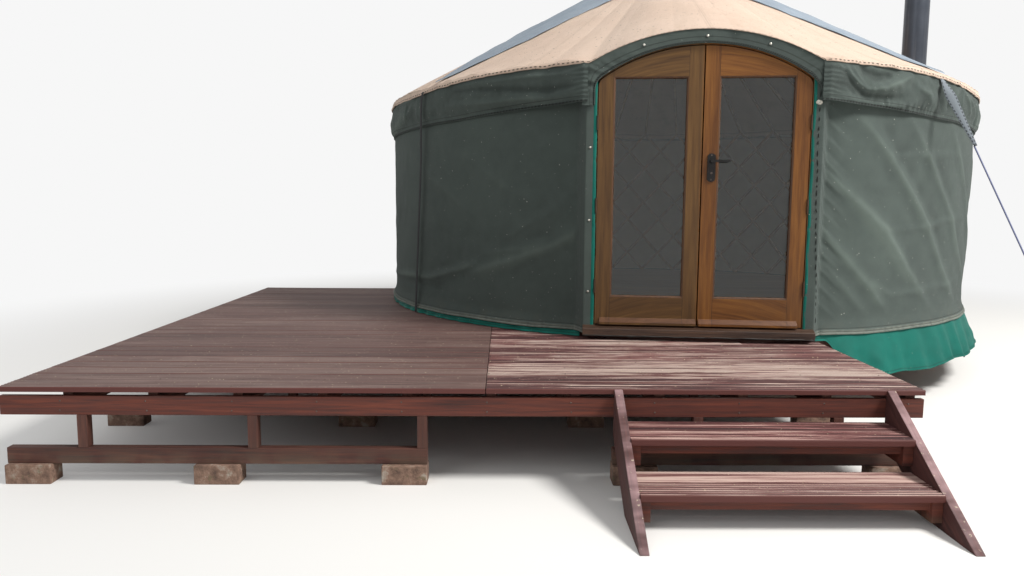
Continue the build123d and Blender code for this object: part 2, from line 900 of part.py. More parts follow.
def facet_radius(azimuth):
    """How far out the hem's straight edge lies between two of the canvas's lines."""
    off_middle = azimuth % pitch - pitch / 2
    return eave_radius * cos(radians(pitch / 2)) / cos(radians(off_middle))


def guy_run(azimuth):
    """The guy's upper end on the hem, and the way it runs out and down."""
    height = hem_point(pitch * round(azimuth / pitch))[2] - canvas_thickness
    out = Vector(*at(1, azimuth, -guy_slope)).normalized()
    start_radius = facet_radius(azimuth) + strap_thickness * abs(out.Z) + fit_gap
    return Vector(*at(start_radius, azimuth, height)), out


def guy_webbing(azimuth):
    """The tapered webbing at the top of a guy."""
    start, out = guy_run(azimuth)
    end = start + out * webbing_length
    side = Vector(cos(radians(azimuth)), sin(radians(azimuth)), 0)
    up = side.cross(out).normalized() * strap_thickness
    wide = side * webbing_top_width / 2
    narrow = side * rope_radius
    corners = [start - wide, start + wide, end + narrow, end - narrow]
    return prism([tuple(point) for point in corners], tuple(up))


def guy_foot(azimuth):
    start, out = guy_run(azimuth)
    return start + out * ((start.Z - tie_height) / -out.Z)


def guy_rope(azimuth):
    """The taut rope from the webbing's end to the peg."""
    start, out = guy_run(azimuth)
    begin = start + out * webbing_length
    foot = guy_foot(azimuth)
    length = (foot - begin).length
    return Plane(origin=begin, z_dir=out) * Pos(0, 0, length / 2) * Cylinder(rope_radius, length)


def ground_peg(azimuth):
    foot = guy_foot(azimuth)
    start, out = guy_run(azimuth)
    reach = hypot(foot.X, foot.Y) + peg_radius + rope_radius * abs(out.Z) + fit_gap
    x, y = plan(reach, azimuth)
    return upright(peg_radius, peg_height, x, y)


# Deck, in its own axes

def on_deck_axes(shapes):
    return [Rot(0, 0, deck_turn) * shape for shape in shapes]


def deck_boards(left, right, back):
    boards = block((left, -deck_front, deck_top - board_thickness), (right, back, deck_top))
    return boards - upright(deck_hole_radius, deck_top)


def joist_places():
    count = int((deck_left + joist_origin) / joist_pitch)
    return [joist_origin - joist_pitch * k for k in range(count + 1)]


def joist_back(x):
    """How far back a joist runs: to the round floor or to the deck's back edge."""
    reach = deck_hole_radius + joist_gap
    half = joist_width / 2
    if abs(x) - half >= reach:
        return deck_back - fascia_thickness
    return -sqrt(reach ** 2 - max(abs(x) - half, 0) ** 2)


def deck_joists():
    top = deck_top - board_thickness
    front = -deck_front + fascia_inset + fascia_thickness
    joists = []
    for x in joist_places():
        low = (x - joist_width / 2, front, top - joist_height)
        joists.append(block(low, (x + joist_width / 2, joist_back(x), top)))
    return joists


def deck_fascia():
    top = deck_top - board_thickness - fascia_drop
    low = top - fascia_height
    front = -deck_front + fascia_inset
    boards = [block((-deck_left, front, low), (deck_right, front + fascia_thickness, top))]
    back_right = -deck_hole_radius - fascia_end_gap
    boards.append(block((-deck_left, deck_back - fascia_thickness, low), (back_right, deck_back, top)))
    return boards


def bearer_rows():
    """Each low bearer: its middle line across the deck, and its left and right ends."""
    front = -deck_front + fascia_inset + post_width / 2
    end = post_width / 2
    left = -deck_left + bearer_left_gap
    right = deck_right - bearer_right_gap
    rows = [(front, left, -front_post_x + end), (front, -stringer_left, right), (front_bearer, left, right)]
    for y in side_bearers:
        clear = sqrt(deck_hole_radius ** 2 - max(abs(y) - end, 0) ** 2) + bearer_floor_gap
        rows.append((y, left, -clear))
    return rows


def deck_bearers():
    half = post_width / 2
    low = bearer_bottom
    top = bearer_bottom + bearer_height
    return [block((left, y - half, low), (right, y + half, top)) for y, left, right in bearer_rows()]


def post_places(row, left, right):
    """Where the posts of a bearer row stand along it."""
    if row == 0:
        places = [-front_post_x - front_post_pitch * k for k in range(3)]
    elif row == 1:
        places = right_post_places
    elif row == 2:
        places = joist_places()[::2]
    else:
        places = joist_places()
    half = post_width / 2
    return [x for x in places if left + half <= x <= right - half + fit_gap]


def deck_posts():
    """The short posts between the low bearers and the frame over them."""
    half = post_width / 2
    base = bearer_bottom + bearer_height
    fascia_bottom = deck_top - board_thickness - fascia_drop - fascia_height
    joist_bottom = deck_top - board_thickness - joist_height
    posts = []
    for row, (y, left, right) in enumerate(bearer_rows()):
        top = fascia_bottom if row < 2 else joist_bottom
        for x in post_places(row, left, right):
            posts.append(block((x - half, y - half, base), (x + half, y + half, top)))
    return posts


def brick_pads():
    pads = []
    for y, left, right in bearer_rows():
        count = max(1, ceil((right - left) / brick_span))
        for k in range(count + 1):
            x = left + brick_length / 2 + (right - left - brick_length) * k / count
            low = (x - brick_length / 2, y - brick_width / 2, 0)
            pads.append(block(low, (x + brick_length / 2, y + brick_width / 2, bearer_bottom)))
    return pads


# Steps, in the deck's axes

def step_stringers():
    """The two sloping planks, cut upright against the deck and level on the ground."""
    fascia = -deck_front + fascia_inset
    slope = deck_top / (stringer_foot - deck_front)
    drop = stringer_depth * sqrt(1 + slope ** 2)
    nose = -deck_front - stringer_nose
    under_boards = deck_top - board_thickness
    outline = [(fascia, under_boards), (nose, under_boards), (nose, deck_top), (-stringer_foot, 0),
               (-stringer_foot + drop / slope, 0), (fascia, deck_top - drop)]
    stringers = []
    for x in (-stringer_left, stringer_right - stringer_width):
        points = [(x, y, z) for y, z in outline]
        stringers.append(prism(points, (stringer_width, 0, 0)))
    return stringers


def tread_ends():
    return -stringer_left + stringer_width, stringer_right - stringer_width


def step_treads():
    left, right = tread_ends()
    boards = []
    for index, front in enumerate(tread_fronts):
        top = deck_top - step_rise * (index + 1)
        for k in range(2):
            near = -front + k * (tread_board_width + tread_board_gap)
            low = (left, near, top - tread_thickness)
            boards.append(block(low, (right, near + tread_board_width, top)))
    return boards


def step_supports():
    """Under each tread: a cleat on each stringer, and an apron board between the cleats."""
    left, right = tread_ends()
    pieces = []
    for index, front in enumerate(tread_fronts):
        top = deck_top - step_rise * (index + 1) - tread_thickness
        near = -front + apron_inset
        back = -front + 2 * tread_board_width + tread_board_gap
        piece = block((left, near, top - apron_height), (right, near + apron_thickness, top))
        for start in (left, right - cleat_width):
            low = (start, -front + cleat_inset, top - cleat_height)
            piece += block(low, (start + cleat_width, back, top))
        pieces.append(piece)
    return pieces


def save(name, shapes):
    solids = shapes if isinstance(shapes, list) else [shapes]
    flat = []
    for shape in solids:
        flat += list(shape.solids())
    part = flat[0] if len(flat) == 1 else Compound(children=flat)
    export_step(part, f"parts/{name}.step")


def all_poles():
    count = round(360 / pitch)
    return [roof_pole(pitch * k if pitch * k <= 180 else pitch * k - 360) for k in range(count)]


os.makedirs("parts", exist_ok=True)

save("floor_boards", upright(floor_radius, floor_thickness, z=floor_top - floor_thickness))
save("floor_joists", floor_joists())
save("floor_bearers", floor_bearers())
save("floor_piers", floor_piers())
save("floor_rim", floor_rim())

save("wall_canvas_front_right", wall_canvas(door_bay, 90))
save("wall_canvas_back_right", wall_canvas(90, 180))
save("wall_canvas_back_left", wall_canvas(180, 270))
save("wall_canvas_front_left", wall_canvas(270, 360 - door_bay))
save("door_flaps", [door_flap(-1), door_flap(1)])
save("wall_liner", wall_liner())
save("wall_lattice_left", wall_lattice(-1))
save("wall_lattice_right", wall_lattice(1))

save("roof_poles", all_poles())
save("crown_ring", crown_ring())
save("crown_spokes", crown_spokes())
save("crown_cover", crown_cover())
save("roof_canvas_front", roof_canvas(-45, 45))
save("roof_canvas_right", roof_canvas(45, 135))
save("roof_canvas_back", roof_canvas(135, 225))
save("roof_canvas_left", roof_canvas(-135, -45))
save("roof_valance_left", roof_valance(-1))
save("roof_valance_right", roof_valance(1))
save("door_band", door_band())

save("door_jambs", door_jambs())
save("door_head", door_head())
save("door_sill", door_sill())
save("left_door_leaf", door_leaf(-1))
save("right_door_leaf", door_leaf(1))
save("left_door_pane", door_pane(-1))
save("right_door_pane", door_pane(1))
save("door_hinges", door_hinges())
save("handle_plates", handle_plates())
save("door_lever", door_levers())

save("skirt_left", ground_skirt(-1))
save("skirt_right", ground_skirt(1))
save("flue_pipe", flue_pipe())
save("flue_flashing", flue_flashing())
save("deck_strap", deck_strap())
save("guy_webbing", [guy_webbing(azimuth) for azimuth in guy_azimuths])
save("guy_ropes", [guy_rope(azimuth) for azimuth in guy_azimuths])
save("ground_pegs", [ground_peg(azimuth) for azimuth in guy_azimuths])

seam = -deck_seam
save("deck_boards_left", on_deck_axes([deck_boards(-deck_left, seam - deck_seam_gap, deck_back)]))
save("deck_boards_right", on_deck_axes([deck_boards(seam, deck_right, -deck_right)]))
save("deck_joists", on_deck_axes(deck_joists()))
save("deck_fascia", on_deck_axes(deck_fascia()))
save("deck_bearers", on_deck_axes(deck_bearers()))
save("deck_posts", on_deck_axes(deck_posts()))
save("brick_pads", on_deck_axes(brick_pads()))
save("step_stringers", on_deck_axes(step_stringers()))
save("step_treads", on_deck_axes(step_treads()))
save("step_supports", on_deck_axes(step_supports()))
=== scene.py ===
# %% [markdown]
# # A yurt on its timber deck
# The CAD parts say where every pole, board and door leaf is. Blender adds what plain solids can't show:
# cloth that hangs and creases, grooved boards, stitching, grain, rust and wear.
# Everything is in metres. Z is up, the yurt's centre is the origin, the door faces -Y, and an azimuth
# of 0 degrees looks straight out of the door while 90 is to the right of a visitor who faces it.

# %% Load the frame
import math
import bpy
import numpy as np
from mathutils import Matrix, Vector


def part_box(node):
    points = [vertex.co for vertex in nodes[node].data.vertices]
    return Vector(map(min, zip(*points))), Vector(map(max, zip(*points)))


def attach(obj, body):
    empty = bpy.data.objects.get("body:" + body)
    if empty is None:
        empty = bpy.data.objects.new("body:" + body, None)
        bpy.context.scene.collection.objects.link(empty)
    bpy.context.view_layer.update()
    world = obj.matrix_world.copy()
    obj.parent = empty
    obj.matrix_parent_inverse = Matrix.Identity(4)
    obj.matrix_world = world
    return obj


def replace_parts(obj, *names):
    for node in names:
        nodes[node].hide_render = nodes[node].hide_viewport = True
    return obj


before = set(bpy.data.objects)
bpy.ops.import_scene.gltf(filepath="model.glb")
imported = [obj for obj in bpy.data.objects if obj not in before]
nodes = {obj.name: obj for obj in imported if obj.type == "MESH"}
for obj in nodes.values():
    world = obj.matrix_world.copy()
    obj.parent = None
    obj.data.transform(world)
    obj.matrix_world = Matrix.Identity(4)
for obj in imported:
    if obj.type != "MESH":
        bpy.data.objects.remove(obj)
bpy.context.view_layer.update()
both_sides = ((1, "right"), (-1, "left"))
rng = np.random.default_rng(7)

# %% [markdown]
# ## Camera
# The camera stands where the photographer stood, left of the steps, and looks a little down. The three
# angles and the place were solved from the deck's joists and the door. Blender wants a matrix whose
# columns are the camera's right, up and backward directions, so those are worked out from the angles.

# %% Place the camera


def in_scene(name, data):
    """A new object, linked to the scene."""
    made = bpy.data.objects.new(name, data)
    bpy.context.scene.collection.objects.link(made)
    return made


yaw, tilt, roll = (math.radians(angle) for angle in (-5.53, 6.51, -0.39))
ahead = np.array([math.sin(yaw) * math.cos(tilt), math.cos(yaw) * math.cos(tilt), -math.sin(tilt)])
level = np.array([math.cos(yaw), -math.sin(yaw), 0.0])
down = np.cross(ahead, level)
across = math.cos(roll) * level + math.sin(roll) * down
upward = math.sin(roll) * level - math.cos(roll) * down
matrix = np.eye(4)
matrix[:3, 0], matrix[:3, 1], matrix[:3, 2], matrix[:3, 3] = across, upward, -ahead, (-0.705, -7.347, 1.342)
camera = in_scene("camera", bpy.data.cameras.new("camera"))
camera.matrix_world = Matrix(matrix.tolist())
camera.data.sensor_width = 36.0
camera.data.lens = 26.862
camera.data.clip_end = 200.0
bpy.context.scene.camera = camera
bpy.context.scene.view_settings.view_transform = "Standard"

# %% [markdown]
# ## Shader sums as Python
# A material is a net of nodes. Drawn by hand it is slow to read, so one small class wraps a node's
# output and lets Python's own signs add the Math nodes: `1 - mask` becomes a Subtract node. Every other
# node comes from the method `node`, which takes its type, its settings and what goes in its sockets.
# A colour is given as red, green and blue from 0 to 255, and that method turns it into linear light.

# %% The class Field


class Field:
    """A node's output that can be added, multiplied and compared."""

    def __init__(self, tree, socket=None):
        self.tree = tree
        self.socket = socket

    def node(self, kind, sockets=None, out=0, stops=None, **settings):
        made = self.tree.nodes.new(kind)
        for name, value in settings.items():
            setattr(made, name, value)
        if stops:
            ramp = made.color_ramp.elements
            ramp.remove(ramp[1])
            ramp[0].position, ramp[0].color = stops[0][0], colour(*stops[0][1])
            for place, card in stops[1:]:
                ramp.new(place).color = colour(*card)
        for name, value in (sockets or {}).items():
            if isinstance(value, Field):
                self.tree.links.new(value.socket, made.inputs[name])
            elif value is not None:
                plain_colour = made.inputs[name].type == "RGBA" and len(value) == 3
                made.inputs[name].default_value = colour(*value) if plain_colour else value
        return Field(self.tree, made.outputs[out])

    def math(self, operation, first, second=None, third=None):
        return self.node("ShaderNodeMath", {0: first, 1: second, 2: third}, operation=operation)

    def __add__(self, other): return self.math("ADD", self, other)
    def __sub__(self, other): return self.math("SUBTRACT", self, other)
    def __rsub__(self, other): return self.math("SUBTRACT", other, self)
    def __mul__(self, other): return self.math("MULTIPLY", self, other)
    def __truediv__(self, other): return self.math("DIVIDE", self, other)
    def __gt__(self, other): return self.math("GREATER_THAN", self, other)
    def __lt__(self, other): return self.math("LESS_THAN", self, other)
    def __abs__(self): return self.math("ABSOLUTE", self)
    __radd__ = __add__
    __rmul__ = __mul__

    def rise(self, low, high):
        """0 below low, 1 above high, and smooth between."""
        return self.node("ShaderNodeMapRange", {0: self, 1: low, 2: high}, interpolation_type="SMOOTHSTEP")

    def line(self, place, half):
        """1 on a line where this value equals place, gone at half a width to either side."""
        return 1 - abs(self - place).rise(half * 0.5, half)

    def dashes(self, length, share=0.6):
        return self.math("FRACT", self / length) < share

    def parts(self):
        split = self.node("ShaderNodeSeparateXYZ", {0: self})
        made = split.socket.node
        return [Field(self.tree, made.outputs[k]) for k in range(3)]

    def scaled(self, *factors):
        return self.node("ShaderNodeVectorMath", {0: self, 1: factors}, operation="MULTIPLY")

    def rotated(self, angle, axis):
        return self.node("ShaderNodeVectorRotate", {"Vector": self, "Angle": angle}, rotation_type=axis)

    def noise(self, scale, detail=3.0, rough=0.5, twist=0.0):
        sockets = {"Vector": self, "Scale": scale, "Detail": detail, "Roughness": rough, "Distortion": twist}
        return self.node("ShaderNodeTexNoise", sockets)

    def mix(self, low, high, way="MIX"):
        """The colour low where this mask is 0 and high where it is 1."""
        sockets = {0: self, 6: low, 7: high}
        return self.node("ShaderNodeMix", sockets, out=2, data_type="RGBA", blend_type=way)

    def ramp(self, *stops):
        return self.node("ShaderNodeValToRGB", {0: self}, stops=stops)

    def bump(self, distance, below=None, strength=1.0):
        sockets = {"Height": self, "Distance": distance, "Strength": strength, "Normal": below}
        return self.node("ShaderNodeBump", sockets)


def colour(red, green, blue):
    """A colour as a paint card or photo gives it, 0 to 255, turned into the linear light Blender uses."""
    linear = [(c / 255 / 12.92) if c < 10.3 else ((c / 255 + 0.055) / 1.055) ** 2.4 for c in (red, green, blue)]
    return (*linear, 1.0)


finishes = {}


def finish(name, recipe, **fixed):
    """A material: the recipe gives what varies, and the fixed values go straight on the shader's sockets."""
    made = bpy.data.materials.new(name)
    made.use_nodes = True
    start = Field(made.node_tree)
    shader = made.node_tree.nodes["Principled BSDF"]
    values = {**recipe(start), **{key.replace("_", " "): value for key, value in fixed.items()}}
    for socket, value in values.items():
        if isinstance(value, Field):
            made.node_tree.links.new(value.socket, shader.inputs[socket])
        else:
            shader.inputs[socket].default_value = value
    finishes[name] = made


def place_of(start):
    """The point on the piece, in metres, which moves with the piece."""
    return start.node("ShaderNodeTexCoord", out=3)


def run_of(start):
    """What each cloth point carries: metres along the cloth, metres up or across it, and its fold height."""
    return start.node("ShaderNodeAttribute", out=1, attribute_name="run")

# %% [markdown]
# ## Canvas
# Proofed canvas is matt, with a fine weave that only shows close up. What one sees from the path is
# uneven fading, rows of stitching, blown seed fluff and splashed dirt at the foot. The folds get a painted
# highlight on their crests and painted shade in their hollows. Fold height is stored on the mesh, so the
# shader paints that light and shade exactly on the cloth that stands out or sinks in.

# %% Green, tan, teal and grey cloth


def weave(run, pitch=0.0035):
    """Threads over and under: two rows of waves across each other."""
    u, v, _ = run.parts()
    turn = 2 * math.pi / pitch
    return u.math("SINE", u * turn) * v.math("SINE", v * turn)


def cloth(base, shade, fluff=0.74, fluff_colour=(205, 205, 195), dirt=None, dirt_top=0.8, rows=(),
          weave_depth=0.0004, rough=0.88, patch=0.5, hem=None, ridge=0.34):
    """The recipe of a cloth: two tones, fluff, a dirty foot, rows of stitches, a painted highlight on fold crests (as
    strong as ridge) and painted shade in fold hollows.

    A row has its height, half width, stitch length and thread colour. Between its stitches the seam line is painted
    dark as shade in its groove.
    """
    def recipe(start):
        where = place_of(start)
        run = run_of(start)
        u, v, fold = run.parts()
        fade = where.noise(1.3, 4.0, 0.6) * 0.7 + where.noise(14.0, 3.0) * 0.3
        tone = fade.rise(0.5 - patch * 0.4, 0.5 + patch * 0.4).mix(base, shade)
        # painted highlight: fold crests are lightened, as strong as ridge
        tone = (fold.rise(0.003, 0.02) * ridge).mix(tone, (255, 255, 250), "SOFT_LIGHT")
        # painted shade: fold hollows are darkened
        tone = ((1 - fold.rise(-0.014, -0.001)) * 0.42).mix(tone, (60, 64, 62), "MULTIPLY")
        grit = where.noise(240.0, 2.0)
        tone = (grit.rise(0.5, 0.75) * 0.22).mix(tone, (235, 232, 222), "SOFT_LIGHT")
        tone = where.noise(120.0, 0.0).rise(fluff, fluff + 0.02).mix(tone, fluff_colour)
        if dirt:
            _, _, height = where.parts()
            splash = (1 - height.rise(dirt_top - 0.3, dirt_top)) * where.noise(9.0, 5.0, 0.7).rise(0.42, 0.7)
            tone = (splash * 0.45).mix(tone, dirt)
        if hem:
            rubbed = (1 - v.rise(hem[0] * 0.7, hem[0])) * (where.noise(26.0, 4.0).rise(0.3, 0.6) * 0.5 + 0.4)
            tone = rubbed.mix(tone, hem[1])
        height = weave(run) * weave_depth + grit * 0.0004
        for level, half, length, thread in rows:
            seam = v.line(level, half)
            stitch = seam * u.dashes(length)
            tone = (stitch * 0.85).mix(tone, thread)
            # painted shade in the seam's groove between the stitches
            tone = ((seam - stitch) * 0.45).mix(tone, (15, 16, 15))
            height = height - seam * 0.0012 + stitch * 0.0012
        return {"Base Color": tone, "Roughness": where.noise(6.0).rise(0.2, 0.8) * 0.08 + rough,
                "Normal": height.bump(1.0)}
    return recipe


mud = (108, 98, 80)
green_pair = ((80, 90, 86), (71, 80, 77))
finish("green_canvas", cloth(*green_pair, fluff=0.855, dirt=mud, dirt_top=0.66, hem=(0.034, (122, 128, 120)), ridge=0.5,
                             rows=((0.017, 0.003, 0.011, (84, 86, 78)), (0.038, 0.003, 0.011, (60, 64, 60)))),
       Sheen_Weight=0.05, Specular_IOR_Level=0.25)
# the near-black dashed row at the valance's foot is stitching darkened to also stand for painted shade in the gap under
# the hem
finish("green_band", cloth(*green_pair, fluff=0.855, ridge=0.55,
                           rows=((0.009, 0.007, 0.026, (12, 13, 12)), (0.036, 0.0035, 0.011, (58, 64, 60)))),
       Sheen_Weight=0.05, Specular_IOR_Level=0.25)
finish("teal_canvas", cloth((6, 104, 92), (3, 88, 78), fluff=0.87, weave_depth=0.0001, rough=0.62, ridge=0.0,
                            rows=((0.016, 0.0035, 0.011, (5, 78, 68)),)), Specular_IOR_Level=0.25)
finish("cover_cloth", cloth((140, 152, 164), (123, 136, 149), rows=((0.018, 0.0045, 0.024, (22, 28, 38)),),
                            weave_depth=0.0001, rough=0.62, fluff=0.82, fluff_colour=(90, 85, 70)))
finish("liner_cloth", cloth((214, 206, 188), (198, 188, 168), fluff=0.8))


def roof_recipe(start):
    """Tan canvas with radial seams, needles lying on it, green growth on the shaded back, and painted shade along the
    lip's foot and just above the lip.
    """
    where = place_of(start)
    _, y, _ = where.parts()
    run = run_of(start)
    u, v, _ = run.parts()
    base = cloth((216, 193, 175), (206, 181, 162), fluff=0.80, fluff_colour=(120, 98, 74))(start)
    tone = base["Base Color"]
    streak = run.scaled(7.0, 0.8, 0.0).noise(1.0, 5.0, 0.7).rise(0.48, 0.75)
    near_hem = 1 - v.rise(0.05, 0.45)
    tone = (streak * near_hem * 0.35).mix(tone, (160, 136, 106))
    tone = (streak * (1 - near_hem) * 0.12).mix(tone, (170, 150, 120))
    growth = where.noise(3.0, 6.0, 0.7).rise(0.5, 0.7) * y.rise(-0.4, 2.0)
    tone = (growth * 0.3).mix(tone, (128, 134, 96))
    needle = where.noise(60.0, 0.0).rise(0.80, 0.82)
    tone = (needle * 0.8).mix(tone, (70, 58, 44))
    width = 1.1922
    panel = abs(u.math("FRACT", u / width + 0.475) - 0.5) * width
    seam = panel.line(0.0, 0.004) + panel.line(0.016, 0.003) * v.dashes(0.016)
    tone = (seam * 0.35).mix(tone, (140, 118, 98))
    # painted shade along the lip's lowest edge
    lip_foot_shade = 1 - v.rise(0.003, 0.007)
    tone = (lip_foot_shade * 0.75).mix(tone, (74, 56, 40))
    hem = v.line(0.019, 0.0055)
    stitched = hem * u.dashes(0.034, 0.5)
    tone = (stitched * 0.85).mix(tone, (44, 35, 27))
    # painted shade line just above the lip, where the roof cloth turns down into it
    under = v.line(0.038, 0.008)
    tone = (under * 0.55).mix(tone, (112, 88, 66))
    height = weave(run) * 0.0004 - seam * 0.0012 - hem * 0.0012
    return {"Base Color": tone, "Roughness": base["Roughness"], "Normal": height.bump(1.0)}


finish("tan_canvas", roof_recipe, Sheen_Weight=0.1)
print("cloth finishes:", ", ".join(finishes))

# %% [markdown]
# ## Timber
# Grain is noise drawn out along the board: coarse across, long along. Softwood darkens in its late
# wood, so the same noise drives colour and relief. The deck's red-brown stain has worn off where feet
# fall, which shows as pale patches on faces that look up. Deck boards lie square to the deck, which is
# turned 6 degrees from the yurt, so their grain coordinates are turned back by the same angle.

# %% Timber finishes
deck_turn = math.radians(6.14)
step_slope = math.radians(-31.9)
stretch = {"x": (1.6, 34.0, 34.0), "y": (34.0, 1.6, 34.0), "z": (34.0, 34.0, 1.6)}


def grain(where, along, size=1.0):
    """Fine streaks and broad bands of growth rings that run along one direction."""
    drawn = where.scaled(*(factor * size for factor in stretch[along]))
    fine = drawn.noise(2.6, 5.0, 0.65, 0.4)
    broad = drawn.noise(0.45, 3.0, 0.5, 1.6)
    return fine, broad


def timber(dark, middle, pale, along, turn=0.0, wear=0.0, worn=None, relief=0.0012, rough=0.6, size=1.0, foot=0.0):
    def recipe(start):
        where = place_of(start)
        if turn:
            where = where.rotated(-turn, "Z_AXIS")
        if along == "slope":
            where = where.rotated(step_slope, "X_AXIS")
        fine, broad = grain(where, "y" if along == "slope" else along, size)
        tone = (fine * 0.55 + broad * 0.45).ramp((0.34, dark), (0.5, middle), (0.66, pale))
        if wear:
            lowest, highest = (0.3, 0.5) if along == "slope" else (0.55, 0.95)
            facing = start.node("ShaderNodeNewGeometry", out=1).parts()[2].rise(lowest, highest)
            patches = where.scaled(1.0, 2.2, 1.0).noise(1.7, 4.0, 0.65).rise(0.52 - wear * 0.2, 0.68)
            tone = (patches * facing * (0.35 + fine)).mix(tone, worn)
            tone = (where.noise(60.0, 3.0).rise(0.66, 0.72) * facing * 0.8).mix(tone, (196, 182, 160))
        if foot:
            height = where.parts()[2]
            tone = ((1 - height.rise(0.0, foot)) * where.noise(8.0, 4.0).rise(0.3, 0.6) * 0.6).mix(tone, mud)
        check = fine.rise(0.70, 0.78)
        tone = (check * 0.6).mix(tone, dark)
        height = (fine - check * 0.8) * relief
        return {"Base Color": tone, "Roughness": fine.rise(0.2, 0.8) * 0.25 + rough, "Normal": height.bump(1.0)}
    return recipe


rust_red = ((50, 23, 18), (90, 43, 32), (118, 61, 45))
finish("stained_timber", timber(*rust_red, "x", deck_turn, wear=0.1, worn=(150, 116, 106), foot=0.08))
finish("stringer_timber", timber((42, 22, 20), (68, 36, 33), (92, 54, 49), "slope", deck_turn,
                                 wear=0.9, worn=(166, 134, 136), relief=0.002, foot=0.1))
finish("under_timber", timber((40, 20, 17), (74, 40, 32), (100, 62, 50), "x", deck_turn, foot=0.2))
finish("joist_timber", timber((44, 24, 20), (82, 48, 38), (112, 74, 60), "y", deck_turn))
finish("post_timber", timber((44, 24, 20), (78, 44, 35), (104, 66, 54), "z", foot=0.25))
finish("floor_timber", timber((120, 84, 52), (158, 116, 76), (184, 144, 100), "x", size=0.8, rough=0.4))
finish("lattice_timber", timber((120, 84, 50), (170, 128, 84), (200, 160, 112), "z", size=1.2))
finish("pole_timber", timber((128, 90, 54), (176, 134, 90), (204, 166, 118), "z", size=0.7))
finish("sill_timber", timber((38, 26, 20), (66, 46, 34), (92, 66, 48), "x", rough=0.35))


def deck_recipe(start):
    """Grooved boards: the left section even and brown, the right one worn to pale and dark red streaks, with painted
    shade in the grooves and on the boards' edges and undersides.
    """
    where = place_of(start).rotated(-deck_turn, "Z_AXIS")
    board, shade_amount, section = run_of(start).parts()
    _, y, z = where.parts()
    facing = start.node("ShaderNodeNewGeometry", out=1).parts()[2].rise(0.6, 0.95)
    fine, broad = grain(where, "x")
    even = (fine * 0.45 + broad * 0.35 + board * 0.06).ramp(
        (0.26, (72, 50, 46)), (0.42, (108, 82, 76)), (0.58, (134, 108, 100)))
    streaks = where.scaled(1.0, 34.0, 1.0).noise(1.0, 6.0, 0.74, 0.5) + board * 0.07
    streaked = streaks.ramp((0.38, (54, 26, 27)), (0.47, (108, 62, 60)), (0.54, (150, 102, 98)),
                            (0.64, (196, 164, 154)))
    trodden = where.scaled(0.8, 1.6, 1.0).noise(1.6, 4.0, 0.7) + (1 - (y + 3.65).rise(0.0, 1.0)) * 0.12
    tone = section.mix(even, streaked)
    bare = trodden.rise(0.42, 0.58) * facing * (section * 0.70 + 0.1) * streaks.rise(0.45, 0.56)
    bare = bare * (0.4 + z.rise(0.33, 0.45) * 0.6)
    tone = bare.mix(tone, (226, 206, 192))
    # painted shade in the grooves, at the gaps between boards and on the boards' sides and undersides
    tone = (shade_amount.rise(0.15, 0.8) * (0.7 + section * 0.15)).mix(tone, (34, 18, 17))
    tone = (1 - facing).mix(tone, (86, 40, 34))
    litter = where.noise(110.0, 0.0).rise(0.79, 0.81) * facing
    tone = (litter * 0.8).mix(tone, (206, 196, 160))
    height = fine * 0.001 + litter * 0.002
    return {"Base Color": tone, "Roughness": fine * 0.3 + 0.5, "Normal": height.bump(1.0)}


finish("deck_timber", deck_recipe)


def door_recipe(start):
    """Stained oak leaves. The grain follows each member: upright in the stiles, level in the rails. The left leaf gets
    a darker copy of the same colours as painted shade.
    """
    where = place_of(start)
    x, y, z = where.parts()
    reach = abs(x)
    stile_inner, stile_outer = 0.093, 0.552
    above_or_below_glass = (z < 0.735) + (z > 2.11)
    rail = (reach > stile_inner) * (reach < stile_outer) * above_or_below_glass
    upright_fine, upright_broad = grain(where, "z", 1.1)
    arched = where.node("ShaderNodeCombineXYZ", {0: x, 1: y, 2: z + x * x * 0.35})
    level_fine, level_broad = grain(arched, "x", 1.1)
    fine = upright_fine + (level_fine - upright_fine) * rail
    broad = upright_broad + (level_broad - upright_broad) * rail
    tone = (fine * 0.5 + broad * 0.5 + rail * 0.03).ramp(
        (0.32, (76, 42, 14)), (0.5, (108, 66, 25)), (0.68, (132, 86, 36)))
    # painted shade: a darker copy of the same ramp, used on the left leaf
    shaded = (fine * 0.5 + broad * 0.5).ramp(
        (0.32, (60, 41, 20)), (0.5, (84, 60, 31)), (0.68, (102, 76, 42)))
    left = 1 - x.rise(-0.012, -0.002)
    tone = (left * 0.85).mix(tone, shaded)
    weathered = where.noise(2.2, 4.0, 0.6).rise(0.45, 0.75) * (1 - z.rise(0.6, 1.1))
    tone = (weathered * 0.35).mix(tone, (84, 62, 44))
    bar = (z > 0.574) * (z < 0.622) * (y < -2.4562)
    tone = (bar * 0.75).mix(tone, (fine * 0.6 + broad * 0.4).ramp((0.3, (66, 38, 22)), (0.6, (94, 60, 40))))
    joint = (reach.line(stile_inner, 0.0016) + reach.line(stile_outer, 0.0016)) * above_or_below_glass
    tone = (joint * 0.7).mix(tone, (44, 28, 18))
    height = fine * 0.0006 - joint * 0.001
    return {"Base Color": tone, "Roughness": fine * 0.2 + 0.34, "Normal": height.bump(1.0)}


finish("door_timber", door_recipe, Coat_Weight=0.06, Coat_Roughness=0.3, Specular_IOR_Level=0.3)

# %% [markdown]
# ## Glass, metal, rubber and rope
# The double glazing is clear, so it gets a real refracting glass. Iron fittings are black and a little
# pitted. The flue is satin enamel with rain streaks, and webbing and rope show their plait up close.

# %% The other finishes


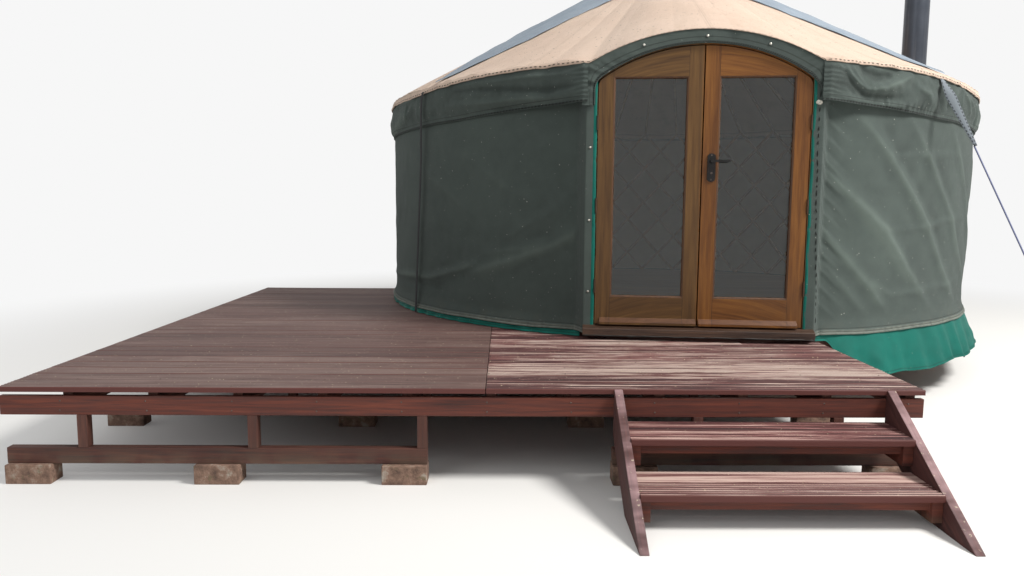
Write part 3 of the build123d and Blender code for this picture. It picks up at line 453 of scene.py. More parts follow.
def plain(base, other, scale=30.0, rough=0.5, relief=0.0004, metallic=0.0, streaks=False, rust=None):
    def recipe(start):
        where = place_of(start)
        spots = where.noise(scale, 4.0, 0.6)
        tone = spots.rise(0.35, 0.7).mix(base, other)
        if streaks:
            run_down = where.scaled(26.0, 26.0, 0.7).noise(1.0, 4.0, 0.6).rise(0.5, 0.75)
            tone = (run_down * 0.4).mix(tone, (126, 128, 130))
        if rust:
            tone = (where.noise(scale * 0.4, 5.0, 0.7).rise(0.58, 0.66) * 0.8).mix(tone, rust)
        return {"Base Color": tone, "Roughness": spots * 0.25 + rough, "Normal": (spots * relief).bump(1.0),
                "Metallic": metallic}
    return recipe


finish("door_glass", lambda start: {"Base Color": place_of(start).noise(3.0).mix((236, 244, 240), (246, 250, 248)),
                                    "Roughness": place_of(start).noise(5.0).rise(0.4, 0.8) * 0.03},
       Transmission_Weight=1.0, IOR=1.45)
finish("black_iron", plain((24, 24, 25), (38, 37, 36), 220.0, 0.34, 0.0006, 0.6, rust=(70, 50, 40)))
finish("flue_metal", plain((56, 61, 70), (66, 71, 80), 5.0, 0.24, 0.0002, 0.45, streaks=True))
finish("flashing_rubber", plain((186, 58, 40), (160, 46, 34), 20.0, 0.55))
finish("peg_metal", plain((150, 150, 148), (112, 110, 106), 60.0, 0.38, 0.0004, 0.9, rust=(104, 66, 42)))
finish("bead_timber", timber((52, 30, 12), (76, 46, 20), (98, 64, 32), "z", rough=0.5, size=1.6))
finish("brown_iron", plain((72, 50, 32), (54, 38, 26), 160.0, 0.5, 0.0005, 0.3, rust=(84, 52, 34)))
finish("steel_snap", plain((196, 194, 186), (164, 160, 150), 90.0, 0.25, 0.0002, 0.9))
finish("sealant", plain((176, 168, 150), (120, 112, 96), 40.0, 0.6))
finish("lace_cord", plain((20, 21, 20), (36, 38, 36), 300.0, 0.8))
finish("knot_cord", plain((220, 218, 208), (176, 172, 160), 300.0, 0.85, 0.001))
finish("nail_steel", plain((72, 62, 58), (120, 108, 100), 300.0, 0.4, 0.0004, 0.8, rust=(84, 46, 32)))
finish("black_seal", plain((22, 20, 19), (40, 35, 31), 60.0, 0.45))


def webbing(base, other):
    """Flat webbing: a chevron weave with a stitched line along each edge."""
    def recipe(start):
        run = run_of(start)
        u, v, half = run.parts()
        chevron = u.math("SINE", (u + abs(v)) * 900.0)
        edge = (half - abs(v)).line(0.006, 0.005)
        stitch = edge * u.dashes(0.026, 0.55)
        tone = (chevron * 0.5 + 0.5).mix(base, other)
        tone = (stitch * 0.8).mix(tone, (24, 26, 30))
        height = chevron * 0.0004 - stitch * 0.001
        return {"Base Color": tone, "Roughness": chevron * 0.05 + 0.8, "Normal": height.bump(1.0)}
    return recipe


finish("black_webbing", webbing((18, 18, 19), (34, 34, 36)))
finish("grey_webbing", webbing((132, 140, 146), (96, 104, 112)))
finish("guy_rope", lambda start: {
    "Base Color": run_of(start).noise(160.0, 2.0).rise(0.4, 0.6).mix((74, 80, 120), (128, 134, 164)),
    "Roughness": run_of(start).noise(90.0) * 0.2 + 0.6}, Sheen_Weight=0.1)


def brick_recipe(start):
    where = place_of(start)
    blotch = where.noise(18.0, 5.0, 0.7)
    tone = blotch.ramp((0.35, (92, 72, 62)), (0.55, (140, 112, 96)), (0.7, (168, 158, 146)))
    moss = where.noise(30.0, 4.0).rise(0.6, 0.7)
    tone = (moss * 0.4).mix(tone, (86, 92, 60))
    return {"Base Color": tone, "Roughness": blotch * 0.1 + 0.85, "Normal": (where.noise(120.0, 4.0) * 0.003).bump(1.0)}


finish("brick", brick_recipe)
print(len(finishes), "finishes")

# %% [markdown]
# ## Helpers for meshes
# A sheet of cloth is a grid of points: rows up the cloth and columns along it. numpy moves all the
# points at once, and each point keeps its place on the flat cloth in the attribute "run".

# %% Grids, folds and noise


def ring(radius, azimuth, height):
    """Points round the yurt's centre, for arrays of radius, azimuth in degrees and height."""
    turn = np.radians(azimuth)
    flat = np.zeros(np.broadcast(radius, turn, height).shape)
    return np.stack([radius * np.sin(turn) + flat, -radius * np.cos(turn) + flat, height + flat], -1)


def bell(value, middle, width):
    """1 at the middle, fading to nothing on both sides."""
    return np.exp(-((value - middle) / width) ** 2)


def climb(value, start, width):
    """0 up to start, then straight up to 1 over a width; with a minus width it is 1 before and falls to 0 after."""
    return np.clip((value - start) / width, 0, 1)


def eased(share):
    """A straight climb from 0 to 1, made smooth at both ends."""
    return share * share * (3 - 2 * share)


def from_front(azimuth):
    """Degrees from straight out of the door, to either side."""
    return np.abs((azimuth + 180) % 360 - 180)


def unit(vectors):
    """Vectors made one long."""
    return vectors / np.linalg.norm(vectors, axis=-1, keepdims=True)


def walked_lengths(line):
    """How far along a line each of its points is."""
    return np.concatenate([[0], np.cumsum(np.linalg.norm(np.diff(line, axis=0), axis=1))])


def tube_faces(rings, sides, closed=False):
    """The faces between rings of points; a closed tube joins its last ring to its first."""
    return [(k * sides + j, k * sides + (j + 1) % sides,
             (k + 1) % rings * sides + (j + 1) % sides, (k + 1) % rings * sides + j)
            for k in range(rings if closed else rings - 1) for j in range(sides)]


def end_faces(rings, sides):
    """The two faces that close a tube's ends."""
    return [tuple(range(sides - 1, -1, -1)), tuple((rings - 1) * sides + j for j in range(sides))]


def piece_of(name, points, faces, slot, run=None, body="root", smooth=True):
    mesh = bpy.data.meshes.new(name)
    mesh.from_pydata(np.asarray(points, float).reshape(-1, 3).tolist(), [], faces)
    if run is not None:
        attribute = mesh.attributes.new("run", "FLOAT_VECTOR", "POINT")
        attribute.data.foreach_set("vector", np.asarray(run, np.float32).ravel())
    if smooth:
        mesh.shade_smooth()
    piece = in_scene(name, mesh)
    mesh.materials.append(finishes[slot])
    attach(piece, body)
    return piece


def skin(name, points, u, v, slot, fold=0.0):
    """A sheet from a grid of points, with the metres along and up the cloth for its finish."""
    rows, columns = points.shape[:2]
    index = np.arange(rows * columns).reshape(rows, columns)
    faces = np.stack([index[:-1, :-1], index[:-1, 1:], index[1:, 1:], index[1:, :-1]], -1).reshape(-1, 4)
    run = np.stack([u + np.zeros((rows, columns)), v + np.zeros((rows, columns)), fold + np.zeros((rows, columns))], -1)
    return piece_of(name, points, faces.tolist(), slot, run)


def ripple(u, v, size, seed, count=14):
    """Smooth noise from -1 to 1 about, as a sum of waves in many directions."""
    dice = np.random.default_rng(seed)
    total = np.zeros(np.broadcast(u, v).shape)
    for _ in range(count):
        way, reach, start = dice.uniform(0, 2 * math.pi), dice.uniform(0.6, 1.8), dice.uniform(0, 2 * math.pi)
        total += np.sin((u * math.cos(way) + v * math.sin(way)) * 2 * math.pi / size * reach + start)
    return total / math.sqrt(count)


def crease(u, v, path, width, height, soft=0.008):
    """A ridge along a bent line: sharp on top, fading to its sides and its two ends."""
    nearest = np.full(u.shape, 9.0)
    along = np.zeros(u.shape)
    for k, ((u0, v0), (u1, v1)) in enumerate(zip(path, path[1:])):
        du, dv = u1 - u0, v1 - v0
        share = np.clip(((u - u0) * du + (v - v0) * dv) / (du * du + dv * dv), 0, 1)
        off = np.hypot(u - u0 - share * du, v - v0 - share * dv)
        closer = off < nearest
        nearest = np.where(closer, off, nearest)
        along = np.where(closer, (k + share) / (len(path) - 1), along)
    taper = np.sqrt(np.clip(np.sin(np.pi * along), 0, 1))
    return height * taper * np.clip(1 - np.sqrt(nearest ** 2 + soft ** 2) / width, 0, 1) ** 2

# %% [markdown]
# ## Wall canvas
# One length of canvas goes from each door post round to the back, where the two overlap. It is pulled
# tight over the lattice, so each outer lath prints a slanting ridge and each crossing a faint level one.
# The side in the photo's sun shows them strongly. The canvas turns the post's corner and is laced there.
# The plan line is walked by its length, so folds are placed in real metres along the cloth.

# %% Wall canvas
wall_radius = 2.480
lath_slant = 23.0  # degrees round the wall for each metre a lath drops
wall_foot, wall_head = 0.503, 2.09
round_start = 18.3  # degrees from the door where the wall leaves the post and turns round

# creases seen from the path, as azimuth and height, with their width and how far they stand out
lath_prints = {
    1: [([(22.4, 1.92), (26.6, 1.78), (29.9, 1.65), (34.8, 1.43), (39.3, 1.23), (45.5, 0.91), (50.3, 0.72),
          (54.0, 0.62)], 0.13, 0.021),
        ([(33.6, 1.92), (38.6, 1.69), (43.4, 1.46), (48.8, 1.24), (52.3, 1.03), (57.1, 0.86),
          (61.0, 0.64)], 0.12, 0.020),
        ([(17.2, 1.61), (21.3, 1.44), (27.6, 1.23), (29.5, 1.17), (34.9, 0.91), (38.8, 0.77),
          (43.5, 0.58)], 0.15, 0.021),
        ([(17.2, 1.26), (20.0, 1.09), (24.0, 0.93), (28.5, 0.75), (31.5, 0.61)], 0.12, 0.014),
        ([(17.5, 1.07), (21.0, 0.87), (24.3, 0.73), (27.0, 0.60)], 0.10, 0.010),
        ([(45.0, 1.95), (50.0, 1.71), (56.0, 1.44), (61.0, 1.18), (66.0, 0.94), (72.0, 0.66)], 0.12, 0.016),
        ([(28.4, 1.645), (37.5, 1.660), (49.7, 1.69)], 0.06, 0.007),
        ([(27.5, 1.175), (33.0, 1.165), (38.8, 1.185), (48.8, 1.232), (58.0, 1.24)], 0.06, 0.009),
        ([(27.0, 0.83), (31.8, 0.745), (39.0, 0.755), (48.0, 0.771), (56.0, 0.80)], 0.07, 0.009)],
    -1: [([(39.6, 0.80), (35.9, 0.858), (30.2, 0.926), (23.8, 1.018), (19.0, 1.114), (17.0, 1.17)], 0.13, 0.013),
         ([(36.0, 0.955), (32.6, 0.989), (27.3, 1.025), (22.2, 1.084)], 0.08, 0.006),
         ([(30.5, 1.08), (27.3, 1.169), (22.9, 1.263), (19.5, 1.378)], 0.10, 0.006),
         ([(80.0, 0.70), (63.5, 0.733), (49.5, 0.756), (39.6, 0.861), (36.0, 0.92)], 0.08, 0.015),
         ([(58.0, 1.72), (44.0, 1.40), (37.0, 1.22)], 0.14, 0.005),
         ([(48.0, 1.88), (34.0, 1.52), (25.0, 1.30)], 0.14, 0.004)],
}


def wall_plan(side):
    """The wall's plan line from its free edge on the post to the back, with its outward direction."""
    edge = 0.6725 if side < 0 else 0.661
    corner = [(edge, -2.4600), (0.7130, -2.4600), (0.7210, -2.4585), (0.7245, -2.4520), (0.7665, -2.3640)]
    turn = np.radians(np.arange(round_start, 180.01, 0.1))
    round_part = np.stack([wall_radius * np.sin(turn), -wall_radius * np.cos(turn)], -1)
    line = np.concatenate([corner, round_part])
    length = walked_lengths(line)
    marks = np.concatenate([np.arange(0, 0.3, 0.006), np.linspace(0.3, 2.5, 200), np.linspace(2.52, length[-1], 280)])
    x, y = np.interp(marks, length, line[:, 0]), np.interp(marks, length, line[:, 1])
    tangent = unit(np.stack([np.gradient(x, marks), np.gradient(y, marks)], -1))
    return marks, side * x, y, side * tangent[:, 1], -tangent[:, 0]


corner_run = 0.162  # metres of canvas from its free edge to the start of the round


def wall_mark(azimuth):
    """Metres along the canvas at an azimuth."""
    return corner_run + wall_radius * math.radians(abs(azimuth) - round_start)


def wall_folds(side, s, z):
    """How far the canvas stands out of its round, in metres."""
    out = 0.003 * ripple(s, z * 0.6, 0.9, 11 + side) + 0.0011 * ripple(s, z, 0.22, 13 + side)
    for path, width, height in lath_prints[side]:
        width, height = 0.86 * width, height * (1.2 if side > 0 else 1.8)
        ends = [(max(wall_mark(azimuth), 0.115), level) for azimuth, level in path]
        out += crease(s, z, ends, width, height)
        out -= crease(s, z, [(u + 0.13, v - 0.03) for u, v in ends], 0.16, 0.35 * height, 0.05)
    dice = np.random.default_rng(40 + side)
    for k in range(2 if side > 0 else 4, 13):
        start = 42.0 + 10.7 * k
        path = [(wall_mark(start + (1.665 - level) * lath_slant + dice.uniform(-0.8, 0.8)), level)
                for level in (1.93, 1.68, 1.42, 1.19, 0.98, 0.78, 0.58)]
        strength = dice.uniform(0.4, 1.0)
        out += crease(s, z, path, 0.13, 0.014 * strength)
        for level in (1.67, 1.20, 0.76):
            middle = start + (1.665 - level) * lath_slant
            ends = [(wall_mark(middle + step), level + dice.uniform(-0.02, 0.02)) for step in (0, 5.3, 10.7)]
            out += crease(s, z, ends, 0.07, 0.005 * strength, 0.012)
    return out


def lacing_folds(s, z):
    """Small slanting pulls where the lacing draws the edge round the post."""
    pull = np.clip(1 - np.abs(s - 0.14) / 0.22, 0, 1) ** 1.3
    slant = z + (s - 0.14) * 0.8
    return pull * (0.0055 * np.sin(slant * 2 * math.pi / 0.115) + 0.003 * np.sin(slant * 2 * math.pi / 0.052 + 1.0))


walls = {}
for side, word in both_sides:
    marks, x, y, out_x, out_y = wall_plan(side)
    heights = np.concatenate([[wall_foot + 0.012], np.linspace(wall_foot, 0.56, 24), np.linspace(0.57, wall_head, 108)])
    s, z = np.meshgrid(marks, heights)
    fold = wall_folds(side, s, z) * climb(s, 0.125, 0.05)
    if side < 0:
        for seam, sizes in ((((31.1, 1.93), (31.4, 1.37), (32.1, 0.62)), (0.02, 0.004, 0.003)),
                            (((16.8, 1.93), (16.9, 1.37), (16.9, 0.60)), (0.012, 0.003, 0.002))):
            fold += crease(s, z, [(wall_mark(azimuth), level) for azimuth, level in seam], *sizes)
    else:
        fold += lacing_folds(s, z) * climb(s, 0.06, 0.03)
    fold *= np.clip((z - 0.58) / 0.10, 0.10, 1)
    fold = np.clip(fold, np.interp(s, [0.20, 0.45], [-0.001, -0.010]), np.interp(z, [1.80, 1.92], [0.025, 0.012]))
    hem = 0.028 * climb(z, 0.600, -0.097) ** 1.4
    piping = 0.006 * bell(z - wall_foot, 0.008, 0.006) + 0.0045 * bell(z - wall_foot, 0.027, 0.006)
    round_only = climb(s, 0.1, 0.1)
    stand = fold + (hem + piping) * (0.08 + 0.92 * round_only)
    stand[0] = stand[1] - 0.004
    wave = 0.004 * ripple(s, 0, 0.7, 17) * climb(z, 0.58, -0.06)
    points = np.stack([x + out_x * stand, y + out_y * stand, z + wave], -1)
    wall = skin(f"wall_canvas_{word}", points, s, z - wall_foot, "green_canvas", fold)
    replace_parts(wall, f"wall_canvas_front_{word}", f"wall_canvas_back_{word}")
    walls[side] = (marks, points, heights)
    print(wall.name, len(wall.data.vertices), "points, folds",
          round(float(fold.min()), 3), "to", round(float(fold.max()), 3))

# %% [markdown]
# ## Lacing and studs
# The canvas's free edge is laced down the right post with black cord: each stitch shows for a few
# centimetres, then dips under. On the left post it is held by three domed studs. Every stitch is a short
# round bar laid on the cloth, so it is looked up on the wall's own grid.

# %% Lacing, knot and studs


def on_wall(side, x, z):
    """The wall's point at a place across the post and a height."""
    marks, points, heights = walls[side]
    row = points[np.argmin(np.abs(heights - z))]
    column = np.argmin(np.abs(row[:80, 0] - side * x))
    return row[column]


def rod(line, radius, sides=8):
    """A round bar along points, as points and faces with closed ends."""
    line = np.asarray(line, float)
    forward = unit(np.gradient(line, axis=0))
    helper = np.array([0.0, 1.0, 0.0]) if abs(forward[0][1]) < 0.9 else np.array([1.0, 0.0, 0.0])
    across_rod = unit(np.cross(forward, helper))
    over_rod = np.cross(forward, across_rod)
    turn = np.linspace(0, 2 * math.pi, sides, endpoint=False)
    sizes = np.broadcast_to(radius, len(line))[:, None, None]
    points = line[:, None] + sizes * (np.cos(turn)[None, :, None] * across_rod[:, None]
                                      + np.sin(turn)[None, :, None] * over_rod[:, None])
    return points.reshape(-1, 3), tube_faces(len(line), sides) + end_faces(len(line), sides)


def gathered(name, shapes, slot, body="root", smooth=True):
    """Many small shapes as one piece."""
    points, faces = [], []
    for shape_points, shape_faces in shapes:
        faces += [tuple(len(points) + corner for corner in face) for face in shape_faces]
        points += [tuple(point) for point in shape_points]
    return piece_of(name, points, faces, slot, body=body, smooth=smooth)


def dome(centre, out, radius, height, sides=16):
    """A low round head that stands on a face, as points and faces."""
    out = unit(np.asarray(out, float))
    first = unit(np.cross(out, (0.0, 0.0, 1.0))) if abs(out[2]) < 0.9 else np.array([1.0, 0.0, 0.0])
    second = np.cross(out, first)
    rings = ((1.0, 0.0), (0.98, 0.35), (0.80, 0.75), (0.45, 0.95))
    points = [centre + radius * reach * (math.cos(t) * first + math.sin(t) * second) + out * height * lift
              for reach, lift in rings for t in np.linspace(0, 2 * math.pi, sides, endpoint=False)]
    points.append(np.asarray(centre) + out * height)
    faces = tube_faces(len(rings), sides)
    faces += [(3 * sides + j, 3 * sides + (j + 1) % sides, 4 * sides) for j in range(sides)]
    return points, faces


lace_heights = [0.560, 0.681, 0.939, 1.287, 1.682, 1.954, 2.083]
lace_places = [0.742, 0.734, 0.716, 0.700, 0.692, 0.692, 0.687]
stitches = []
top_of_stitch = 2.075
while top_of_stitch > 0.60:
    length = float(rng.uniform(0.024, 0.044))
    levels = np.linspace(top_of_stitch, top_of_stitch - length, 5)
    line = [on_wall(1, np.interp(level, lace_heights, lace_places), level) for level in levels]
    centre = np.linspace(line[0], line[-1], 5) + np.array([0.0, -0.0016, 0.0])
    centre[[0, -1], 1] += 0.003
    stitches.append(rod(centre, [0.001, 0.0030, 0.0032, 0.0030, 0.001], 6))
    top_of_stitch -= length + float(rng.uniform(0.012, 0.022))
gathered("lacing_stitches", stitches, "lace_cord")

loops = []
knot_place = on_wall(1, 0.684, 1.950)
for lean, size in ((0.0, 0.010), (1.2, 0.008), (2.3, 0.009)):
    t = np.linspace(0, 2 * math.pi, 17)
    loop = np.stack([size * 1.5 * np.cos(t) * math.cos(lean) - size * 0.7 * np.sin(t) * math.sin(lean),
                     -0.005 - 0.002 * np.sin(3 * t + lean),
                     size * 1.2 * np.cos(t) * math.sin(lean) + size * 0.7 * np.sin(t) * math.cos(lean)], -1)
    loops.append(rod(knot_place + loop, 0.0052, 8))
gathered("lacing_knot", loops, "knot_cord")

studs = [dome(on_wall(-1, 0.690, level) + np.array([0, -0.0006, 0]), (0, -1, 0), 0.0075, 0.005)
         for level in (1.679, 1.223, 0.767)]
gathered("edge_studs", studs, "steel_snap")
print(len(stitches), "stitches,", len(studs), "studs")

# %% [markdown]
# ## Teal strips beside the door
# The teal sheet under the canvas shows as a strip on each post: wide on the left, a sliver on the right.
# It is narrow and loose, so it bows a little between the points where it is pinned.

# %% Teal strips
strips = []
left_edge, right_edge = 0.6495, 0.6510
for side, word in both_sides:
    free_edge = left_edge if side < 0 else right_edge
    plan_x = np.array([free_edge, 0.658, 0.667, 0.676, 0.692, 0.704, 0.7150,
                       0.7180, 0.7230, 0.7330, 0.7430, 0.7530, 0.7615])
    plan_y = np.array([-2.4562, -2.4585, -2.4588, -2.4572, -2.4566, -2.4562, -2.4540,
                       -2.4500, -2.4350, -2.4140, -2.3930, -2.3720, -2.3540])
    heights = np.linspace(0.50, 2.09, 200)
    column, z = np.meshgrid(np.arange(len(plan_x)), heights)
    pinch = sum(bell(z, level, 0.012) for level in (1.765, 1.60, 1.18, 0.77))
    bulge = 0.0035 * (1 - np.minimum(pinch, 1)) * (0.6 + 0.4 * np.sin(z * 17.0)) * np.isin(column, (1, 2))
    edge = (0.0025 * np.sin(z * 9.0) + 0.0030 * np.minimum(pinch, 1)) * (column == 0)
    points = np.stack([side * (plan_x[column] + np.abs(edge)), plan_y[column] - bulge - 0.0006, z], -1)
    strip = skin(f"teal_strip_{word}", points, column * 0.012, z - 0.5, "teal_canvas", bulge)
    strips.append(strip)
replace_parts(strips[0], "door_flaps")
print("teal strips start", left_edge, "and", right_edge, "m from the middle of the door")

# %% [markdown]
# ## Roof canvas
# The roof is a taut cone over forty poles. Each line from hem to crown is straight, so a grid with few
# rows would do, but near the hem the cloth is gathered by its hem line and stands in small ripples. Over
# the door the hem climbs along the arch. A lip hangs from the hem and throws its shadow on the valance.

# %% Roof canvas
door_front = 2.475
arch_radius, arch_top = 1.357, 2.383
eave_radius, eave_height = 2.530, 2.150
band_end = math.degrees(math.atan2(0.740, door_front))
crown_radius, crown_height = 0.450, 3.305
roof_slant = 2.41  # metres of cloth from hem to crown
flue_x, flue_y = 1.996, -0.479


def hem_line(azimuth):
    """The solid roof's edge: its distance from the centre and its height, for an array of azimuths."""
    off = from_front(azimuth)
    inside = np.minimum(off, band_end)
    x = door_front * np.tan(np.radians(inside))
    arch = arch_top - arch_radius + np.sqrt(arch_radius ** 2 - x ** 2)
    arch_reach = np.hypot(door_front, x)
    blend = climb(off, band_end, 22.5 - band_end)
    lift = np.clip((40 - off) / (40 - band_end), 0, 1) * 0.022
    eave = eave_height + lift
    height = np.where(off <= band_end, arch, arch + (eave - arch) * blend)
    return arch_reach + (eave_radius - arch_reach) * blend, height


def cloth_edge(azimuth):
    """The height of the tan cloth's lowest edge: on the arch, then along the eave."""
    off = from_front(azimuth)
    x = door_front * np.tan(np.radians(np.minimum(off, band_end)))
    arch = 2.386 - arch_radius + np.sqrt(arch_radius ** 2 - x ** 2)
    eave = np.interp(off, [16.0, 22.0, 26.0, 31.0, 38.0, 47.0, 52.0, 56.0, 180.0],
                     [2.188, 2.186, 2.183, 2.176, 2.163, 2.141, 2.123, 2.116, 2.118])
    return np.where(off < band_end, np.maximum(arch, 2.188), eave)


def drawn_in(azimuth):
    """How far the real cloth's edge lies inside the solid's, away from the door."""
    off = from_front(azimuth)
    return 0.034 * climb(off, 24.0, 20.0)


def roof_height(azimuth, radius):
    """The roof cloth's height at a distance from the centre; it is lifted a little near its edge."""
    reach, height = hem_line(azimuth)
    straight = height + (reach - radius) / (reach - crown_radius) * (crown_height - height)
    slant = np.maximum(reach - radius, 0) * 1.14
    off = from_front(azimuth)
    lip = climb(off, 14.0, 4.0) * 0.026
    lift = (cloth_edge(azimuth) + lip - height) * np.exp(-slant / 0.22)
    sag = 0.005 * (1 - np.abs(np.cos(np.radians(azimuth * 20))) ** 0.7)
    sag = sag * climb(slant, 0, 0.2) * climb(radius, 0.5, 0.5)
    over_poles = 0.006 * climb(off, 60, 20) * bell(slant, 0, 0.5)
    return straight + np.maximum(lift, -0.02) - sag + over_poles


azimuths = np.unique(np.concatenate([np.arange(-180, 180.01, 0.75), np.arange(-60, 60.01, 0.25)]))
shares = np.concatenate([np.linspace(0, 0.12, 16), np.linspace(0.135, 1.0, 34)])
azimuth, share = np.meshgrid(azimuths, shares)
reach, height = hem_line(azimuth)
edge = reach - drawn_in(azimuth)
radius = edge + share * (0.432 - edge)
u = np.radians(azimuth) * eave_radius
slant = share * roof_slant
off_door = np.clip((np.abs(azimuth) - 15.5) / 3.0, 0.15, 1)
gather = np.exp(-slant / 0.06) * 0.0035 * ripple(u, slant * 0.15, 0.13, 21) * off_door
gather += np.exp(-slant / 0.30) * 0.004 * ripple(u, slant * 0.5, 0.5, 22) * off_door + 0.002 * ripple(u, slant, 1.1, 23)
valley = -0.006 * bell(slant, 0.035, 0.018) * off_door
body = ring(radius, azimuth, roof_height(azimuth, radius) + gather + valley + 0.003)
flue_off = np.hypot(body[..., 0] - flue_x, body[..., 1] - flue_y)
body[..., 2] -= 0.015 * np.exp(-(flue_off / 0.19) ** 4)
lips = []
edge_azimuth = azimuths[None, :]
reach, height = hem_line(edge_azimuth)
off = np.abs(edge_azimuth)
hanging = climb(off, 14.5, 3.0)
swell = 0.003 * ripple(edge_azimuth * 0.044, 0, 0.12, 25)
waver = 0.002 * ripple(edge_azimuth * 0.044, 0, 0.16, 26) * hanging
for rise, stand in ((0.002, 0.0045), (0.000, 0.0085), (0.005, 0.0115), (0.015, 0.0110), (0.022, 0.0080)):
    level = cloth_edge(edge_azimuth) + rise * (0.25 + 0.75 * hanging) + waver
    lip_reach = reach - drawn_in(edge_azimuth) + 0.001 + stand * (0.35 + 0.65 * hanging) + swell * hanging
    lips.append(ring(lip_reach, edge_azimuth, level))
points = np.concatenate([*lips, body])
v = np.concatenate([np.repeat([[0.0], [0.003], [0.009], [0.020], [0.027]], len(azimuths), 1), slant + 0.033])
roof = skin("roof_canvas", points, u[0], v, "tan_canvas")
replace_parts(roof, "roof_canvas_front", "roof_canvas_right", "roof_canvas_back", "roof_canvas_left")
print("roof canvas", len(roof.data.vertices), "points")

# %% [markdown]
# ## Valance
# The green band hangs from the hem and is drawn in at its foot. Between the tie-down corners its cloth
# is longer than the chord, so it swags: folds leave each corner and sweep down and up again like a hung
# chain. A drawn hem makes fine upright gathers along the foot.

# %% Valance
round_radius = 2.5  # where metres along the hanging cloth are counted
corners = {1: (40.0, 84.0, 126.0, 180.0), -1: (54.0, 90.0, 126.0, 180.0)}

# folds beside the door as azimuth and height, with width and how far they stand out; a minus is a hollow
swags = {
    1: [([(17.4, 2.185), (18.2, 2.155), (19.6, 2.140)], 0.022, 0.010),
        ([(19.1, 2.170), (20.1, 2.117), (21.5, 2.072), (23.1, 2.041), (24.9, 2.034)], 0.030, 0.019),
        ([(20.4, 2.176), (21.4, 2.113), (23.2, 2.058)], 0.024, 0.010),
        ([(24.0, 2.036), (26.7, 2.056), (29.3, 2.099), (32.5, 2.155)], 0.075, 0.020),
        ([(33.0, 2.085), (36.3, 2.049), (37.7, 1.980)], 0.055, 0.016),
        ([(25.0, 1.955), (29.0, 1.950), (34.0, 1.972)], 0.050, 0.012),
        ([(18.0, 1.985), (21.0, 1.972), (25.0, 1.955)], 0.040, 0.008),
        ([(18.6, 2.150), (20.6, 2.060), (23.1, 2.008), (26.8, 2.000), (31.5, 2.020)], 0.055, -0.014),
        ([(17.3, 2.070), (19.4, 2.054), (21.2, 2.009)], 0.035, -0.009),
        ([(21.5, 2.172), (24.5, 2.125), (28.0, 2.135)], 0.055, -0.013),
        ([(39.4, 2.110), (40.2, 2.039), (40.8, 1.930)], 0.085, -0.020),
        ([(47.5, 2.142), (45.0, 2.073), (43.6, 2.000)], 0.040, 0.016),
        ([(48.0, 2.140), (50.9, 2.051), (52.7, 1.970)], 0.045, 0.018),
        ([(48.4, 2.135), (47.9, 2.055), (47.9, 1.945)], 0.040, 0.014),
        ([(49.8, 2.117), (55.0, 2.020), (57.0, 1.950)], 0.040, 0.014),
        ([(42.4, 2.080), (43.2, 2.040), (42.8, 1.980)], 0.050, -0.014)],
    -1: [([(16.9, 2.140), (20.7, 2.138), (25.4, 2.141), (32.1, 2.134), (40.0, 2.142)], 0.042, 0.013),
         ([(16.9, 2.035), (22.2, 1.998), (28.8, 2.003), (34.9, 1.998), (44.0, 2.010)], 0.050, 0.014),
         ([(16.9, 2.065), (22.2, 2.048), (28.8, 2.072), (34.5, 2.098), (42.0, 2.100)], 0.045, -0.011),
         ([(16.9, 1.985), (20.6, 1.953), (27.1, 1.956), (34.9, 1.952)], 0.030, -0.006),
         ([(54.5, 2.120), (57.0, 2.112), (62.0, 2.125), (68.0, 2.130)], 0.050, 0.016),
         ([(55.0, 2.080), (58.0, 2.000), (60.0, 1.920)], 0.050, 0.012),
         ([(53.4, 2.120), (53.0, 2.020), (53.4, 1.920)], 0.035, 0.008)],
}


def valance_foot(off):
    return np.interp(off, [16.5, 23, 28.4, 34, 41, 47, 55, 60],
                     [1.958, 1.946, 1.934, 1.920, 1.902, 1.898, 1.886, 1.880])


